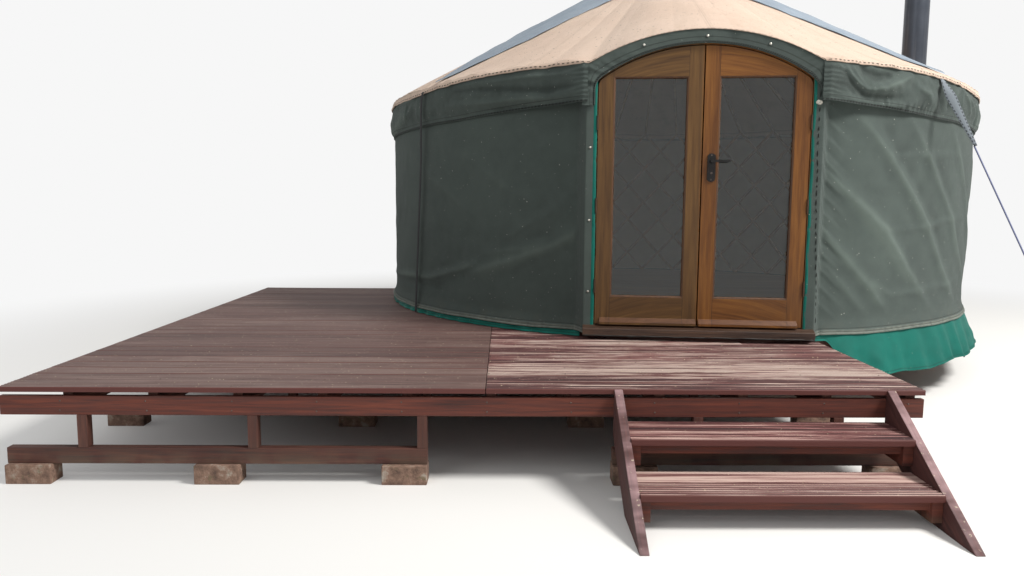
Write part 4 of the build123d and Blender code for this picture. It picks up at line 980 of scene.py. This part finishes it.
for side, word in both_sides:
    off = np.concatenate([np.arange(15.7 if side > 0 else 16.0, 62, 0.2), np.arange(62, 180.01, 0.4)])
    a, t = np.meshgrid(off, np.linspace(0, 1, 44))
    on_post = 1 - climb(a, 17.6, 3.0)
    hem_reach = hem_line(a)[0] - drawn_in(a) + 0.0085 * eased(on_post)
    head, foot = cloth_edge(a) + 0.006, valance_foot(a)
    z = head + t * (foot - head)
    u = np.radians(a) * round_radius
    fold = 0.0022 * ripple(u, z, 0.30, 35 + side) + 0.0012 * ripple(u, z, 0.09, 37 + side)
    for path, width, height in swags[side]:
        line = [(math.radians(azimuth) * round_radius, level) for azimuth, level in path]
        fold += 1.35 * crease(u, z, line, width, height, 0.007)
    for left_end, right_end in zip(corners[side], corners[side][1:]):
        share = climb(a, left_end, right_end - left_end)
        inside = (a >= max(left_end, 58.0)) & (a <= right_end)
        for drop, strength in ((0.10, 0.010), (0.18, 0.014), (0.225, 0.008)):
            dip = 0.02 + drop * (1 - np.abs(2 * share - 1) ** 2.2)
            width = 0.026 + 0.025 * np.sin(np.pi * share)
            fold += inside * strength * bell(head - z, dip, width) * np.sin(np.pi * share) ** 0.4
        for k, (corner, way) in enumerate(((left_end, 1), (right_end, -1)) * 2):
            lean = 0.05 + 0.06 * k
            if corner > 60:
                place = math.radians(corner) * round_radius
                line = [(place + way * 0.01, 2.10), (place + way * (0.03 + lean), 1.95)]
                fold += crease(u, z, line, 0.04, 0.010, 0.006)
    bunched = 0.3 + 0.9 * bell(a, 34, 7.0) * (side > 0)
    bunched = bunched + 0.5 * (ripple(u, 0, 0.9, 33 + side) > 0.3) * (a > 60)
    fold += 0.0030 * bunched * ripple(u, z * 0.2, 0.045, 31 + side) * bell(z - foot, 0.035, 0.035)
    corner_puckers = climb(a, 20.0, -3.0)
    pucker = 0.0022 * corner_puckers * np.sin(z * 2 * math.pi / 0.030 + 9 * u + 1.5 * ripple(u, z, 0.2, 39))
    fold += pucker
    belly = 0.011 * np.sin(np.pi * np.minimum(t * 1.1, 1))
    tuck = 0.019 * climb(t, 0.5, 0.5) ** 1.5 * np.clip((a - 20.0) / 8.0, 0.15, 1)
    hem_roll = 0.004 * climb(t, 0.96, 0.04)
    ends = np.clip((a - 16.6) / 2.5, 0.12, 1) * np.clip(t / 0.06, 0.2, 1) * np.clip((1 - t) / 0.08, 0.35, 1)
    radius = hem_reach + 0.0005 + (belly + fold) * ends - tuck + hem_roll + pucker * (1 - ends)
    radius = np.maximum(radius, np.where(a < 22, hem_reach - 0.004, 2.4925))
    points = ring(radius, a * side, z)
    turned = ring(radius[-1:] - 0.008, (a * side)[-1:], z[-1:] + 0.004)
    tucked = ring(radius[-1:] - 0.010, (a * side)[-1:], z[-1:] + 0.030)
    points = np.concatenate([points, turned, tucked])[::-1]
    height = np.concatenate([z - foot, 0 * z[-1:], 0 * z[-1:] + 0.2])[::-1]
    # the stored fold heights drive the painted light and shade: lowered by 4 mm so the whole valance gets a little
    # painted shade, and the turned-under hem rows get full painted shade
    stored = np.concatenate([fold - 0.004, 0 * fold[-1:] - 0.02, 0 * fold[-1:] - 0.02])[::-1]
    along = np.concatenate([u, u[-1:], u[-1:]])
    valance = skin(f"roof_valance_{word}_cloth", points, along, height, "green_band", stored)
    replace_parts(valance, f"roof_valance_{word}")
    print(valance.name, "foot at", round(float(z.min()), 3), "folds to", round(float(fold.max()), 3))

# %% [markdown]
# ## Band over the door
# A strip of the same canvas follows the arch and runs down each post to the valance's foot. It was
# eased round the curve, so it wrinkles across its width. Two lines are walked side by side, the inner
# edge and the outer, and the strip is filled between them.

# %% Door band


def walked(line, count):
    """A line of points spaced evenly by length."""
    line = np.asarray(line, float)
    length = walked_lengths(line)
    marks = np.linspace(0, length[-1], count)
    return np.stack([np.interp(marks, length, line[:, 0]), np.interp(marks, length, line[:, 1])], -1)


def arch_half(leg_x, foot, shoulder, radius, apex, bend):
    """Half an arch from its foot, up the leg and round a bent corner, to the middle."""
    arc_x = np.linspace(leg_x - bend, 0, 60)
    arc = np.stack([arc_x, apex - radius + np.sqrt(radius ** 2 - arc_x ** 2)], -1)
    leg = np.stack([np.full(16, leg_x), np.linspace(foot, shoulder, 16)], -1)
    (x0, z0), (x1, z1), (x2, z2) = leg[-1], (leg_x, apex - radius + math.sqrt(radius ** 2 - leg_x ** 2)), arc[0]
    t = np.linspace(0, 1, 12)[1:-1, None]
    corner = (1 - t) ** 2 * np.array([x0, z0]) + 2 * t * (1 - t) * np.array([x1, z1]) + t ** 2 * np.array([x2, z2])
    return np.concatenate([leg, corner, arc])


columns = 260
inner_right = walked(arch_half(0.703, 1.950, 1.985, 1.10, 2.303, 0.095), columns)
inner_left = walked(arch_half(0.666, 1.936, 2.030, 1.10, 2.303, 0.045), columns)
outer_right = walked(arch_half(0.746, 1.950, 2.150, arch_radius, 2.392, 0.006), columns)
outer_left = walked(arch_half(0.746, 1.936, 2.150, arch_radius, 2.392, 0.006), columns)
mirror = np.array([-1.0, 1.0])
inner = np.concatenate([inner_left * mirror, inner_right[-2::-1]])
outer = np.concatenate([outer_left * mirror, outer_right[-2::-1]])
u = np.linspace(0, 3.2, len(inner))
t = np.array([0.0, 0.0, 0.03, 0.07, 0.11, 0.15, 0.2, 0.27, 0.35, 0.45, 0.55, 0.65, 0.75, 0.85, 0.93, 1.0])
across_u, across_t = np.meshgrid(u, t)
plane = inner[None] + (outer - inner)[None] * t[:, None, None]
corner_pull = bell(across_u, 0.30, 0.20) + bell(across_u, 2.90, 0.20)
wrinkle = 0.0016 * ripple(across_u, across_t * 0.10, 0.12, 51) * (0.35 + 1.6 * corner_pull)
wrinkle = wrinkle + 0.0014 * ripple(across_u, across_t * 0.2, 0.40, 52)
roll_out = 0.0055 * bell(across_t, 0.07, 0.055)
stand = 0.003 + np.clip(wrinkle, -0.003, 0.005) * np.clip(across_t * 4, 0.15, 1) + roll_out
stand[0] = -0.002
points = np.stack([plane[..., 0], -2.472 - stand, plane[..., 1]], -1)
# the wrinkles are stored at twice their height, so their painted highlight and painted shade come out stronger
band = skin("door_band_cloth", points, across_u, across_t * 0.085, "green_band", wrinkle * 2)
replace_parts(band, "door_band")
snaps = [dome(np.array([x, -2.4765, z]), (0, -1, 0), 0.0085, 0.005)
         for x, z in ((-0.374, 2.296), (0.007, 2.345), (0.380, 2.293))]
gathered("band_snaps", snaps, "steel_snap")
print("door band", len(band.data.vertices), "points,", len(snaps), "snaps")

# %% [markdown]
# ## Ground skirt
# The teal skirt is stitched under the wall's hem. It lies on the deck where there is one, and beside the
# deck it hangs over the floor's rim, wider than the wall, so it falls in soft upright pleats.

# %% Skirt


def pleats(u, seed, spacing):
    """Uneven pleats with narrow crests, like cloth that hangs from a gathered seam."""
    dice = np.random.default_rng(seed)
    total = np.zeros(u.shape)
    place = u.min() + 0.05
    while place < u.max():
        width = dice.uniform(0.065, 0.105)
        lean = dice.uniform(-0.3, 0.3)
        off = (u - place) / width
        total += dice.uniform(0.55, 1.0) * np.exp(-off ** 2) * (1 + lean * np.tanh(off))
        place += dice.uniform(0.75, 1.3) * spacing
    return total


deck_edges = {1: 18.06, -1: 93.16}  # degrees from the door where the deck ends and the skirt hangs free
skirt_seam, on_deck, free_foot = 0.545, 0.4675, 0.243
for side, word in both_sides:
    off = np.concatenate([np.arange(17.2, 70, 0.18), np.arange(70, 180.01, 0.35)])
    a, t = np.meshgrid(off, np.linspace(0, 1, 33))
    u = np.radians(a) * round_radius
    free = eased(climb(a - deck_edges[side], 1.0, 4.0))
    crest = pleats(u[0], 61 + side, 0.21)[None, :]
    foot = on_deck + free * (free_foot + 0.010 * ripple(u, 0, 0.6, 63) + 0.024 * (crest - 0.5) - on_deck)
    z = skirt_seam + t * (foot - skirt_seam)
    flare = 0.30 + free * 0.03
    radius = 2.4815 + flare * (skirt_seam - z) + free * 0.056 * (crest - 0.45) * t ** 0.9
    radius += (1 - free) * 0.006 * ripple(u, z, 0.16, 65) * t + free * 0.003 * ripple(u, z, 0.15, 66) * t
    hem = free * 0.003 * bell(z - foot, 0.008, 0.006)
    points = ring(radius + hem, a * side, z)
    # the pleats' heights are stored so the teal cloth gets painted shade in the hollows between pleats
    stored = (free * 0.03 * (crest - 0.45) * t)[::-1]
    skirt = skin(f"ground_skirt_{word}", points[::-1], u, (z - foot)[::-1], "teal_canvas", stored)
    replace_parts(skirt, f"skirt_{word}")
    7.72 if side > 0 else 7.54
    2.47 if side > 0 else 1.65
    print(skirt.name, "foot", round(float(z.min()), 3), "reach", round(float(radius.max()), 3))

# %% [markdown]
# ## Rain cover
# A star of pale coated cloth keeps the rain off the crown. It is domed by the crossed laths under it,
# and its four arms run down the roof to straps. Its outline is a curve that dips between the arms.

# %% Rain cover
arms = (-135.0, -48.5, 43.5, 135.0)


def star_edge(azimuth):
    """How far the star's edge lies from the middle: a hanging curve between each two arms."""
    off = np.min([from_front(azimuth - arm) for arm in arms], axis=0)
    return 0.82 + 1.64 * np.exp(-(off / 13.5) ** 1.25)


star_azimuths = np.unique(np.concatenate(
    [np.arange(-180, 180.01, 1.0)] + [arm + np.arange(-14, 14.01, 0.25) for arm in arms]))
slope_rows = np.concatenate([[0.0, 0.004, 0.012], np.linspace(0.03, 1.0, 30)])
crown_rows = np.array([0.53, 0.50, 0.482, 0.474, 0.468, 0.463, 0.458, 0.452,
                       0.44, 0.42, 0.39, 0.35, 0.30, 0.24, 0.17, 0.09, 0.001])
azimuth, t = np.meshgrid(star_azimuths, np.concatenate([slope_rows, np.ones(len(crown_rows))]))
edge = star_edge(azimuth)
radius = edge + (0.56 - edge) * t
radius[len(slope_rows):] = crown_rows[:, None]
height = roof_height(azimuth, np.maximum(radius, 0.45)) + 0.003
domed = crown_height + 0.125 * np.clip(1 - (radius / 0.52) ** 2, 0, 1) ** 0.55
drum = climb(radius, 0.476, -0.020)
height += (np.maximum(domed, height) - height) * eased(drum)
swell = 0.0025 * ripple(radius * np.sin(np.radians(azimuth)), radius * np.cos(np.radians(azimuth)), 0.4, 71)
sagging = -0.003 * np.sin(np.radians(azimuth) * 60) ** 2 * np.exp(-t / 0.03)
height += 0.0125 + swell * (t > 0.01) + (sagging + 0.003) * (t < 0.05)
laths = np.abs(np.sin(np.radians(azimuth * 2))) ** 6 * np.clip(0.42 - radius, 0, 1) * 0.03
height -= laths
height[0] -= 0.006
points = ring(radius, azimuth, height)
cover = skin("rain_cover", points, np.radians(azimuth) * edge, edge - radius, "cover_cloth")
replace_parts(cover, "crown_cover")
print("rain cover's top at", round(float(height.max()), 3))

# %% [markdown]
# ## Liner
# Inside, a pale cotton lining hangs behind the lattice. It shows between the laths through the glass.

# %% Liner
off = np.arange(18.2, 341.81, 1.0)
a, z = np.meshgrid(off, np.linspace(0.50, 2.095, 24))
liner = skin("wall_lining", ring(2.4645 + 0.0006 * ripple(a * 0.04, z, 0.3, 81), a, z), a * 0.043, z, "liner_cloth")
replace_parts(liner, "wall_liner")

# %% [markdown]
# ## Deck boards
# The deck is laid in two sections that meet on a seam. Boards run across, 140 mm wide, with gaps. Each
# is a profile pushed along its length. The right section's grooves are deeper than the left one's, and
# only the lowest tread has a grooved front board. Where the boards meet the round floor, every point of
# the profile stops at the circle, so the cut is curved.

# %% Grooved boards
turn_cos, turn_sin = math.cos(deck_turn), math.sin(deck_turn)


def turned(points):
    """From the deck's own axes to the yurt's."""
    points = np.asarray(points, float)
    x, y = points[..., 0], points[..., 1]
    return np.stack([turn_cos * x - turn_sin * y, turn_sin * x + turn_cos * y, points[..., 2]], -1)


def board_profile(width, thickness, groove):
    """Across the board: place, height and how much painted shade it gets, all round the section: full on the edges at
    the gaps, some in the grooves and on the sides and underside.
    """
    top = [(0.0, -0.004, 1.0), (0.003, 0.0, 0.7), (0.009, 0.0, 0.0)]
    count = round((width - 0.014) / 0.0252)
    shade = min(1.0, groove / 0.0018)
    step = (width - 0.018) / count
    for k in range(count):
        start = 0.009 + step * k
        top += [(start + step * 0.16, 0.0, 0.0), (start + step * 0.33, -groove, shade),
                (start + step * 0.67, -groove, shade), (start + step * 0.84, 0.0, 0.0)]
    top += [(width - 0.009, 0.0, 0.0), (width - 0.003, 0.0, 0.7), (width, -0.004, 1.0)]
    return np.array([*top, (width, -thickness, 0.6), (0.0, -thickness, 0.6)])


class Boards:
    """Gathers many boards into one mesh."""

    def __init__(self):
        self.points, self.faces, self.run = [], [], []

    def add(self, near, ends, top, width=0.140, thickness=0.024, groove=0.0022, steps=6, section=0.0):
        """A board whose near edge is at y = near and whose two ends are functions of y."""
        profile = board_profile(width, thickness, groove)
        count = len(profile)
        tone, bow, twist = rng.uniform(-1, 1), rng.uniform(-0.0012, 0.0012), rng.uniform(-0.0008, 0.0008)
        first = len(self.points)
        for k in range(steps + 1):
            for across_board, rise, shade_amount in profile:
                y = near + across_board
                x = ends[0](y) + (ends[1](y) - ends[0](y)) * k / steps
                lift = bow * math.sin(math.pi * k / steps) + twist * (across_board / width - 0.5) * 2
                self.points.append((x, y, top + rise + lift - 0.0012))
                self.run.append((tone, shade_amount, section))
        for k in range(steps):
            base = first + k * count
            for j in range(count):
                j_next = (j + 1) % count
                self.faces.append((base + j, base + count + j, base + count + j_next, base + j_next))
        self.faces.append(tuple(first + j for j in range(count)))
        self.faces.append(tuple(first + steps * count + j for j in reversed(range(count))))

    def piece(self, name, slot):
        made = piece_of(name, turned(self.points), self.faces, slot, self.run, smooth=False)
        print(name, len(self.points), "points")
        return made


hole = 2.470
pitch = 0.1445
deck_top, deck_front, deck_back = 0.465, -3.716, 0.400
board_width = 0.140
right_start, right_end = -1.568, 0.510
right_back = -1.9085  # no board of the right section has its near edge behind this
both_ends_back = -2.418  # behind this its boards show only on the left of the round floor


def left_of_hole(y, limit):
    return limit if abs(y) >= hole else min(limit, -math.sqrt(hole ** 2 - y ** 2))


def right_of_hole(y, limit):
    return limit if abs(y) >= hole else max(limit, math.sqrt(hole ** 2 - y ** 2))


def behind_seam(y):
    """The right section's boards beside the round floor run from the seam to the circle."""
    return max(-1.567, left_of_hole(y, 0.0) if abs(y) < hole else 0.0)


left_boards, right_boards = Boards(), Boards()
near = deck_front
while near < deck_back - 0.06:
    width = min(board_width, deck_back - near)
    left_boards.add(near, (lambda y: -3.850, lambda y: left_of_hole(y, -1.572)), deck_top, width, groove=0.0014)
    if near < right_back:
        if near + width < -hole:
            right_boards.add(near, (lambda y: right_start, lambda y: right_end), deck_top, width, steps=8, section=1.0)
        else:
            right_boards.add(near, (lambda y: right_start, behind_seam), deck_top, width, section=1.0)
            if near < both_ends_back:
                beside_floor = (lambda y: min(0.509, right_of_hole(y, 0.0)), lambda y: right_end)
                right_boards.add(near, beside_floor, deck_top, width, steps=3, section=1.0)
    near += pitch
deck_left = left_boards.piece("deck_boards_of_left_section", "deck_timber")
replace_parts(deck_left, "deck_boards_left")
deck_right = right_boards.piece("deck_boards_of_right_section", "deck_timber")
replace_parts(deck_right, "deck_boards_right")

treads = Boards()
for index, front in enumerate((3.990, 4.240)):
    for k in range(2):
        treads.add(-front + k * 0.142, (lambda y: -0.9245, lambda y: 0.3265),
                   deck_top - 0.155 * (index + 1), 0.138, 0.028,
                   groove=0.0036 if (index, k) == (1, 0) else 0.0004, steps=8, section=1.0)
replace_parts(treads.piece("tread_boards", "deck_timber"), "step_treads")

# %% [markdown]
# ## CAD pieces that keep their shape
# Rigid parts stay as the CAD made them. Their edges get a small bevel, because sawn timber is never
# knife sharp and a rounded edge catches light. The imported meshes have split corners, so a Weld
# modifier joins them first.

# %% Dress the CAD pieces
dressing = {
    "floor_timber": ["floor_boards"],
    "under_timber": ["floor_bearers", "floor_rim", "deck_bearers"],
    "joist_timber": ["floor_joists", "deck_joists"],
    "post_timber": ["floor_piers", "deck_posts"],
    "lattice_timber": ["wall_lattice_left", "wall_lattice_right"],
    "pole_timber": ["roof_poles", "crown_ring", "crown_spokes"],
    "door_timber": ["door_jambs", "door_head", "left_door_leaf", "right_door_leaf"],
    "sill_timber": ["door_sill"],
    "stringer_timber": ["step_stringers"],
    "door_glass": ["left_door_pane", "right_door_pane"],
    "black_iron": ["handle_plates", "door_lever"],
    "brown_iron": ["door_hinges"],
    "flue_metal": ["flue_pipe"],
    "flashing_rubber": ["flue_flashing"],
    "guy_rope": ["guy_ropes"],
    "peg_metal": ["ground_pegs"],
    "stained_timber": ["deck_fascia", "step_supports"],
    "brick": ["brick_pads"],
}
bevels = {"deck_fascia": 0.003, "step_stringers": 0.004, "step_supports": 0.003, "deck_joists": 0.002,
          "deck_posts": 0.002, "deck_bearers": 0.003, "brick_pads": 0.005, "left_door_leaf": 0.0025,
          "right_door_leaf": 0.0025, "door_sill": 0.003, "door_jambs": 0.002, "handle_plates": 0.0025,
          "door_lever": 0.003, "crown_ring": 0.004}
for slot, names in dressing.items():
    for name in names:
        node = nodes[name]
        node.data.materials.clear()
        node.data.materials.append(finishes[slot])
        if name in bevels:
            weld = node.modifiers.new("join corners", "WELD")
            weld.merge_threshold = 0.00005
            bevel = node.modifiers.new("worn edges", "BEVEL")
            bevel.width, bevel.segments = bevels[name], 2
            bevel.limit_method, bevel.angle_limit = "ANGLE", math.radians(35)
            bevel.harden_normals = True
print("dressed", sum(len(names) for names in dressing.values()), "CAD pieces")

# %% [markdown]
# ## Beads, screws, keyhole, seal and nails
# Each pane is held by a small quarter-round bead mitred at its corners. The handle plate is screwed on
# and has a keyhole. A black seal lies under the sill's nose, and every board is nailed twice to each joist.

# %% Small fittings


def bead(side):
    """A quarter-round frame inside a leaf's glass opening."""
    low_x, high_x = sorted((side * 0.0932, side * 0.5518))
    low_z, high_z = 0.7352, 2.1098
    corners_of = [(low_x, low_z, 1, 1), (high_x, low_z, -1, 1), (high_x, high_z, -1, -1), (low_x, high_z, 1, -1)]
    profile = [(0.0, 0.0), (0.0, -0.0125), (0.0045, -0.0120), (0.0085, -0.0095), (0.0110, -0.0060), (0.0120, 0.0)]
    points = [(x + inward_x * step, -2.4412 + rise, z + inward_z * step) for x, z, inward_x, inward_z in corners_of
              for step, rise in profile]
    return points, tube_faces(len(corners_of), len(profile), closed=True)


for side, body in ((-1, "left_door"), (1, "right_door")):
    gathered(f"{body}_glass_bead", [bead(side)], "bead_timber", body, smooth=False)
plate_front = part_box("handle_plates")[0][1]
screws = [dome(np.array([0.058, plate_front + 0.0004, z]), (0, -1, 0), 0.0042, 0.0016, 12) for z in (1.480, 1.629)]
screws += [dome(np.array([0.058, plate_front + 0.0004, 1.520]), (0, -1, 0), 0.0075, 0.0022, 16)]
gathered("handle_plate_screws", screws, "nail_steel", "right_door")
hole_points = [(0.058 + 0.0032 * math.cos(t), plate_front - 0.0022, 1.522 + 0.0032 * math.sin(t))
               for t in np.linspace(-0.9, math.pi + 0.9, 12)]
hole_points += [(0.0562, plate_front - 0.0022, 1.513), (0.0598, plate_front - 0.0022, 1.513)]
gathered("keyhole", [(hole_points, [tuple(range(len(hole_points)))])], "black_seal", "right_door", smooth=False)

low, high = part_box("door_sill")
seal_x = np.linspace(low[0] + 0.002, high[0] - 0.002, 60)
seal_z = low[2] - 0.002 + 0.0015 * ripple(seal_x, 0, 0.15, 91)
seal_line = np.stack([seal_x, np.full(60, low[1] + 0.004), seal_z], -1)
gathered("sill_seal", [rod(seal_line, 0.0055 + 0.001 * ripple(seal_x, 0, 0.08, 92))], "black_seal")
print("sill from", [round(v, 3) for v in low], "to", [round(v, 3) for v in high])

deck_nails = []
for k in range(11):
    joist = 0.4335 - 0.400 * k  # its middle, in the deck's own axes
    if joist > -3.83:
        for rise in (0.022, 0.068):
            place = turned([joist + float(rng.uniform(-0.006, 0.006)), -3.7085, 0.328 + rise])
            deck_nails.append(dome(place, (math.sin(deck_turn), -math.cos(deck_turn), 0), 0.0042, 0.0016, 8))
    near = deck_front
    while near < 0.28:
        for offset in (0.028, 0.112):
            y = near + offset
            inside = abs(y) < hole + 0.01 and abs(joist) < math.sqrt(max((hole + 0.015) ** 2 - y ** 2, 0))
            behind = joist > right_start and y > -1.95
            if not inside and not behind and -3.82 < joist < 0.49:
                place = turned([joist + float(rng.uniform(-0.008, 0.008)), y, 0.4634])
                deck_nails.append(dome(place, (0, 0, 1), 0.0038, 0.0012, 8))
        near += pitch
gathered("deck_nails", deck_nails, "nail_steel")
print(len(deck_nails), "nails")

# %% [markdown]
# ## Straps and guys
# Webbing is modelled directly as a thin strip along a line. The strap beside the door starts at the
# roof's hem, where an arm of the rain cover ends, and drops to the deck with a slight slant.

# %% Webbing


def strap(name, line, side_way, widths, slot, thickness=0.0022):
    """A flat strip with rounded edges along points, with its own width at each point."""
    line = np.asarray(line, float)
    side_way = np.broadcast_to(side_way, line.shape)
    widths = np.broadcast_to(widths, len(line))
    forward = unit(np.gradient(line, axis=0))
    side_way = unit(side_way - (side_way * forward).sum(1)[:, None] * forward)
    face = unit(np.cross(side_way, forward))
    length = walked_lengths(line)
    outline = [(-1, 0.0), (-0.92, 0.5), (-0.5, 0.5), (0, 0.5), (0.5, 0.5), (0.92, 0.5), (1, 0.0),
               (0.92, -0.5), (0, -0.5), (-0.92, -0.5)]
    points, run = [], []
    for k in range(len(line)):
        for across_strap, lift in outline:
            points.append(line[k] + side_way[k] * across_strap * widths[k] / 2 + face[k] * lift * thickness)
            run.append((length[k], across_strap * widths[k] / 2, widths[k] / 2))
    faces = tube_faces(len(line), len(outline)) + end_faces(len(line), len(outline))
    made = piece_of(name, points, faces, slot, run)
    return made


def sideways(azimuth):
    return np.array([math.cos(math.radians(azimuth)), math.sin(math.radians(azimuth)), 0.0])


strap_top = float(cloth_edge(np.array(-50.0))) + 0.012
strap_foot = 0.467
fall_z = np.concatenate([[strap_top, strap_top - 0.012], np.linspace(strap_top - 0.03, strap_foot, 60)])
down = (strap_top - fall_z) / (strap_top - strap_foot)
fall_r = 2.5240 + 0.012 * climb(fall_z, strap_top, -0.04) - 0.016 * climb(fall_z, 1.98, -0.35)
deck_tie = strap("tie_down_strap", ring(fall_r, -50.0 - 3.8 * down, fall_z), sideways(-52), 0.032, "black_webbing")
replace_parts(deck_tie, "deck_strap")

webs = []
web_length = 0.505
for azimuth in (40.0, 126.0, -126.0):
    out = unit(np.array([math.sin(math.radians(azimuth)), -math.cos(math.radians(azimuth)), -2.0]))
    end = ring(np.array(2.5345), azimuth, np.array(2.1497)) + 0.490 * out
    start = ring(np.array(2.512), azimuth, np.array(2.162))
    marks = np.linspace(0, web_length, 30)
    line = start + marks[:, None] / web_length * (end - start)
    widths = np.interp(marks, [0.0, 0.14, web_length], [0.044, 0.064, 0.020])
    twist = [sideways(azimuth - 50 * share) for share in climb(marks, 0, 0.12)]
    webs.append(strap(f"guy_webbing_{int(azimuth) % 360}", line, twist, widths, "grey_webbing", 0.003))
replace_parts(webs[0], "guy_webbing")
print("straps:", deck_tie.name, *(web.name for web in webs))

# %% [markdown]
# ## Stage and light
# A pale floor that fades to white far away, a soft overcast sky and one broad lamp high on the right,
# where the photo's light comes from. The lamp makes the folds read on the right wall and leaves the left
# wall in its own shade. On top of that the cloth finishes paint highlight on fold crests and shade in fold
# hollows, and the left door leaf has painted shade.

# %% Floor, lamps and world


def seen_directly(start):
    """1 for what the camera sees straight or in glass, 0 for light that only bounces."""
    rays = start.node("ShaderNodeLightPath").socket.node.outputs
    return start.math("MAXIMUM", Field(start.tree, rays["Is Camera Ray"]), Field(start.tree, rays["Is Glossy Ray"]))


def floor_material():
    made = bpy.data.materials.new("stage_floor")
    made.use_nodes = True
    tree = made.node_tree
    start = Field(tree)
    shader = tree.nodes["Principled BSDF"]
    where = place_of(start)
    tone = (where.noise(40.0) * 0.01).mix((240, 239, 236), (234, 233, 230))
    tree.links.new(tone.socket, shader.inputs["Base Color"])
    shader.inputs["Roughness"].default_value = 0.9
    x, y, _ = where.parts()
    far = x.math("SQRT", x * x + y * y).rise(3.6, 8.5)
    white = start.node("ShaderNodeEmission", {"Color": (1, 1, 1, 1), "Strength": 0.93})
    mixed = start.node("ShaderNodeMixShader", {0: far * seen_directly(start)})
    join = mixed.socket.node
    tree.links.new(shader.outputs[0], join.inputs[1])
    tree.links.new(white.socket, join.inputs[2])
    tree.links.new(mixed.socket, tree.nodes["Material Output"].inputs["Surface"])
    return made


mesh = bpy.data.meshes.new("stage_floor")
mesh.from_pydata([(-60, -60, 0), (60, -60, 0), (60, 60, 0), (-60, 60, 0)], [], [(0, 1, 2, 3)])
mesh.materials.append(floor_material())
floor = in_scene("stage_floor", mesh)

world = bpy.data.worlds.new("overcast")
bpy.context.scene.world = world
world.use_nodes = True
tree = world.node_tree
sky = tree.nodes["Background"]
sky.inputs["Color"].default_value = (1.0, 1.0, 1.0, 1.0)
tree.links.new((seen_directly(Field(tree)) * 0.50 + 0.43).socket, sky.inputs["Strength"])


def lamp(name, place, aim, size, power, tint=(1.0, 0.98, 0.95)):
    data = bpy.data.lights.new(name, "AREA")
    data.shape, data.size, data.energy, data.color = "DISK", size, power, tint
    made = in_scene(name, data)
    forward = np.array(aim, float) - np.array(place, float)
    made.location = place
    made.rotation_mode = "QUATERNION"
    made.rotation_quaternion = Vector(forward).to_track_quat("-Z", "Y")


lamp("key", (6.5, -5.5, 9.5), (0.3, -1.5, 1.2), 3.4, 1500)
lamp("fill", (-5.0, -10.0, 6.0), (-0.5, -2.0, 1.0), 5.0, 90, (0.95, 0.98, 1.0))
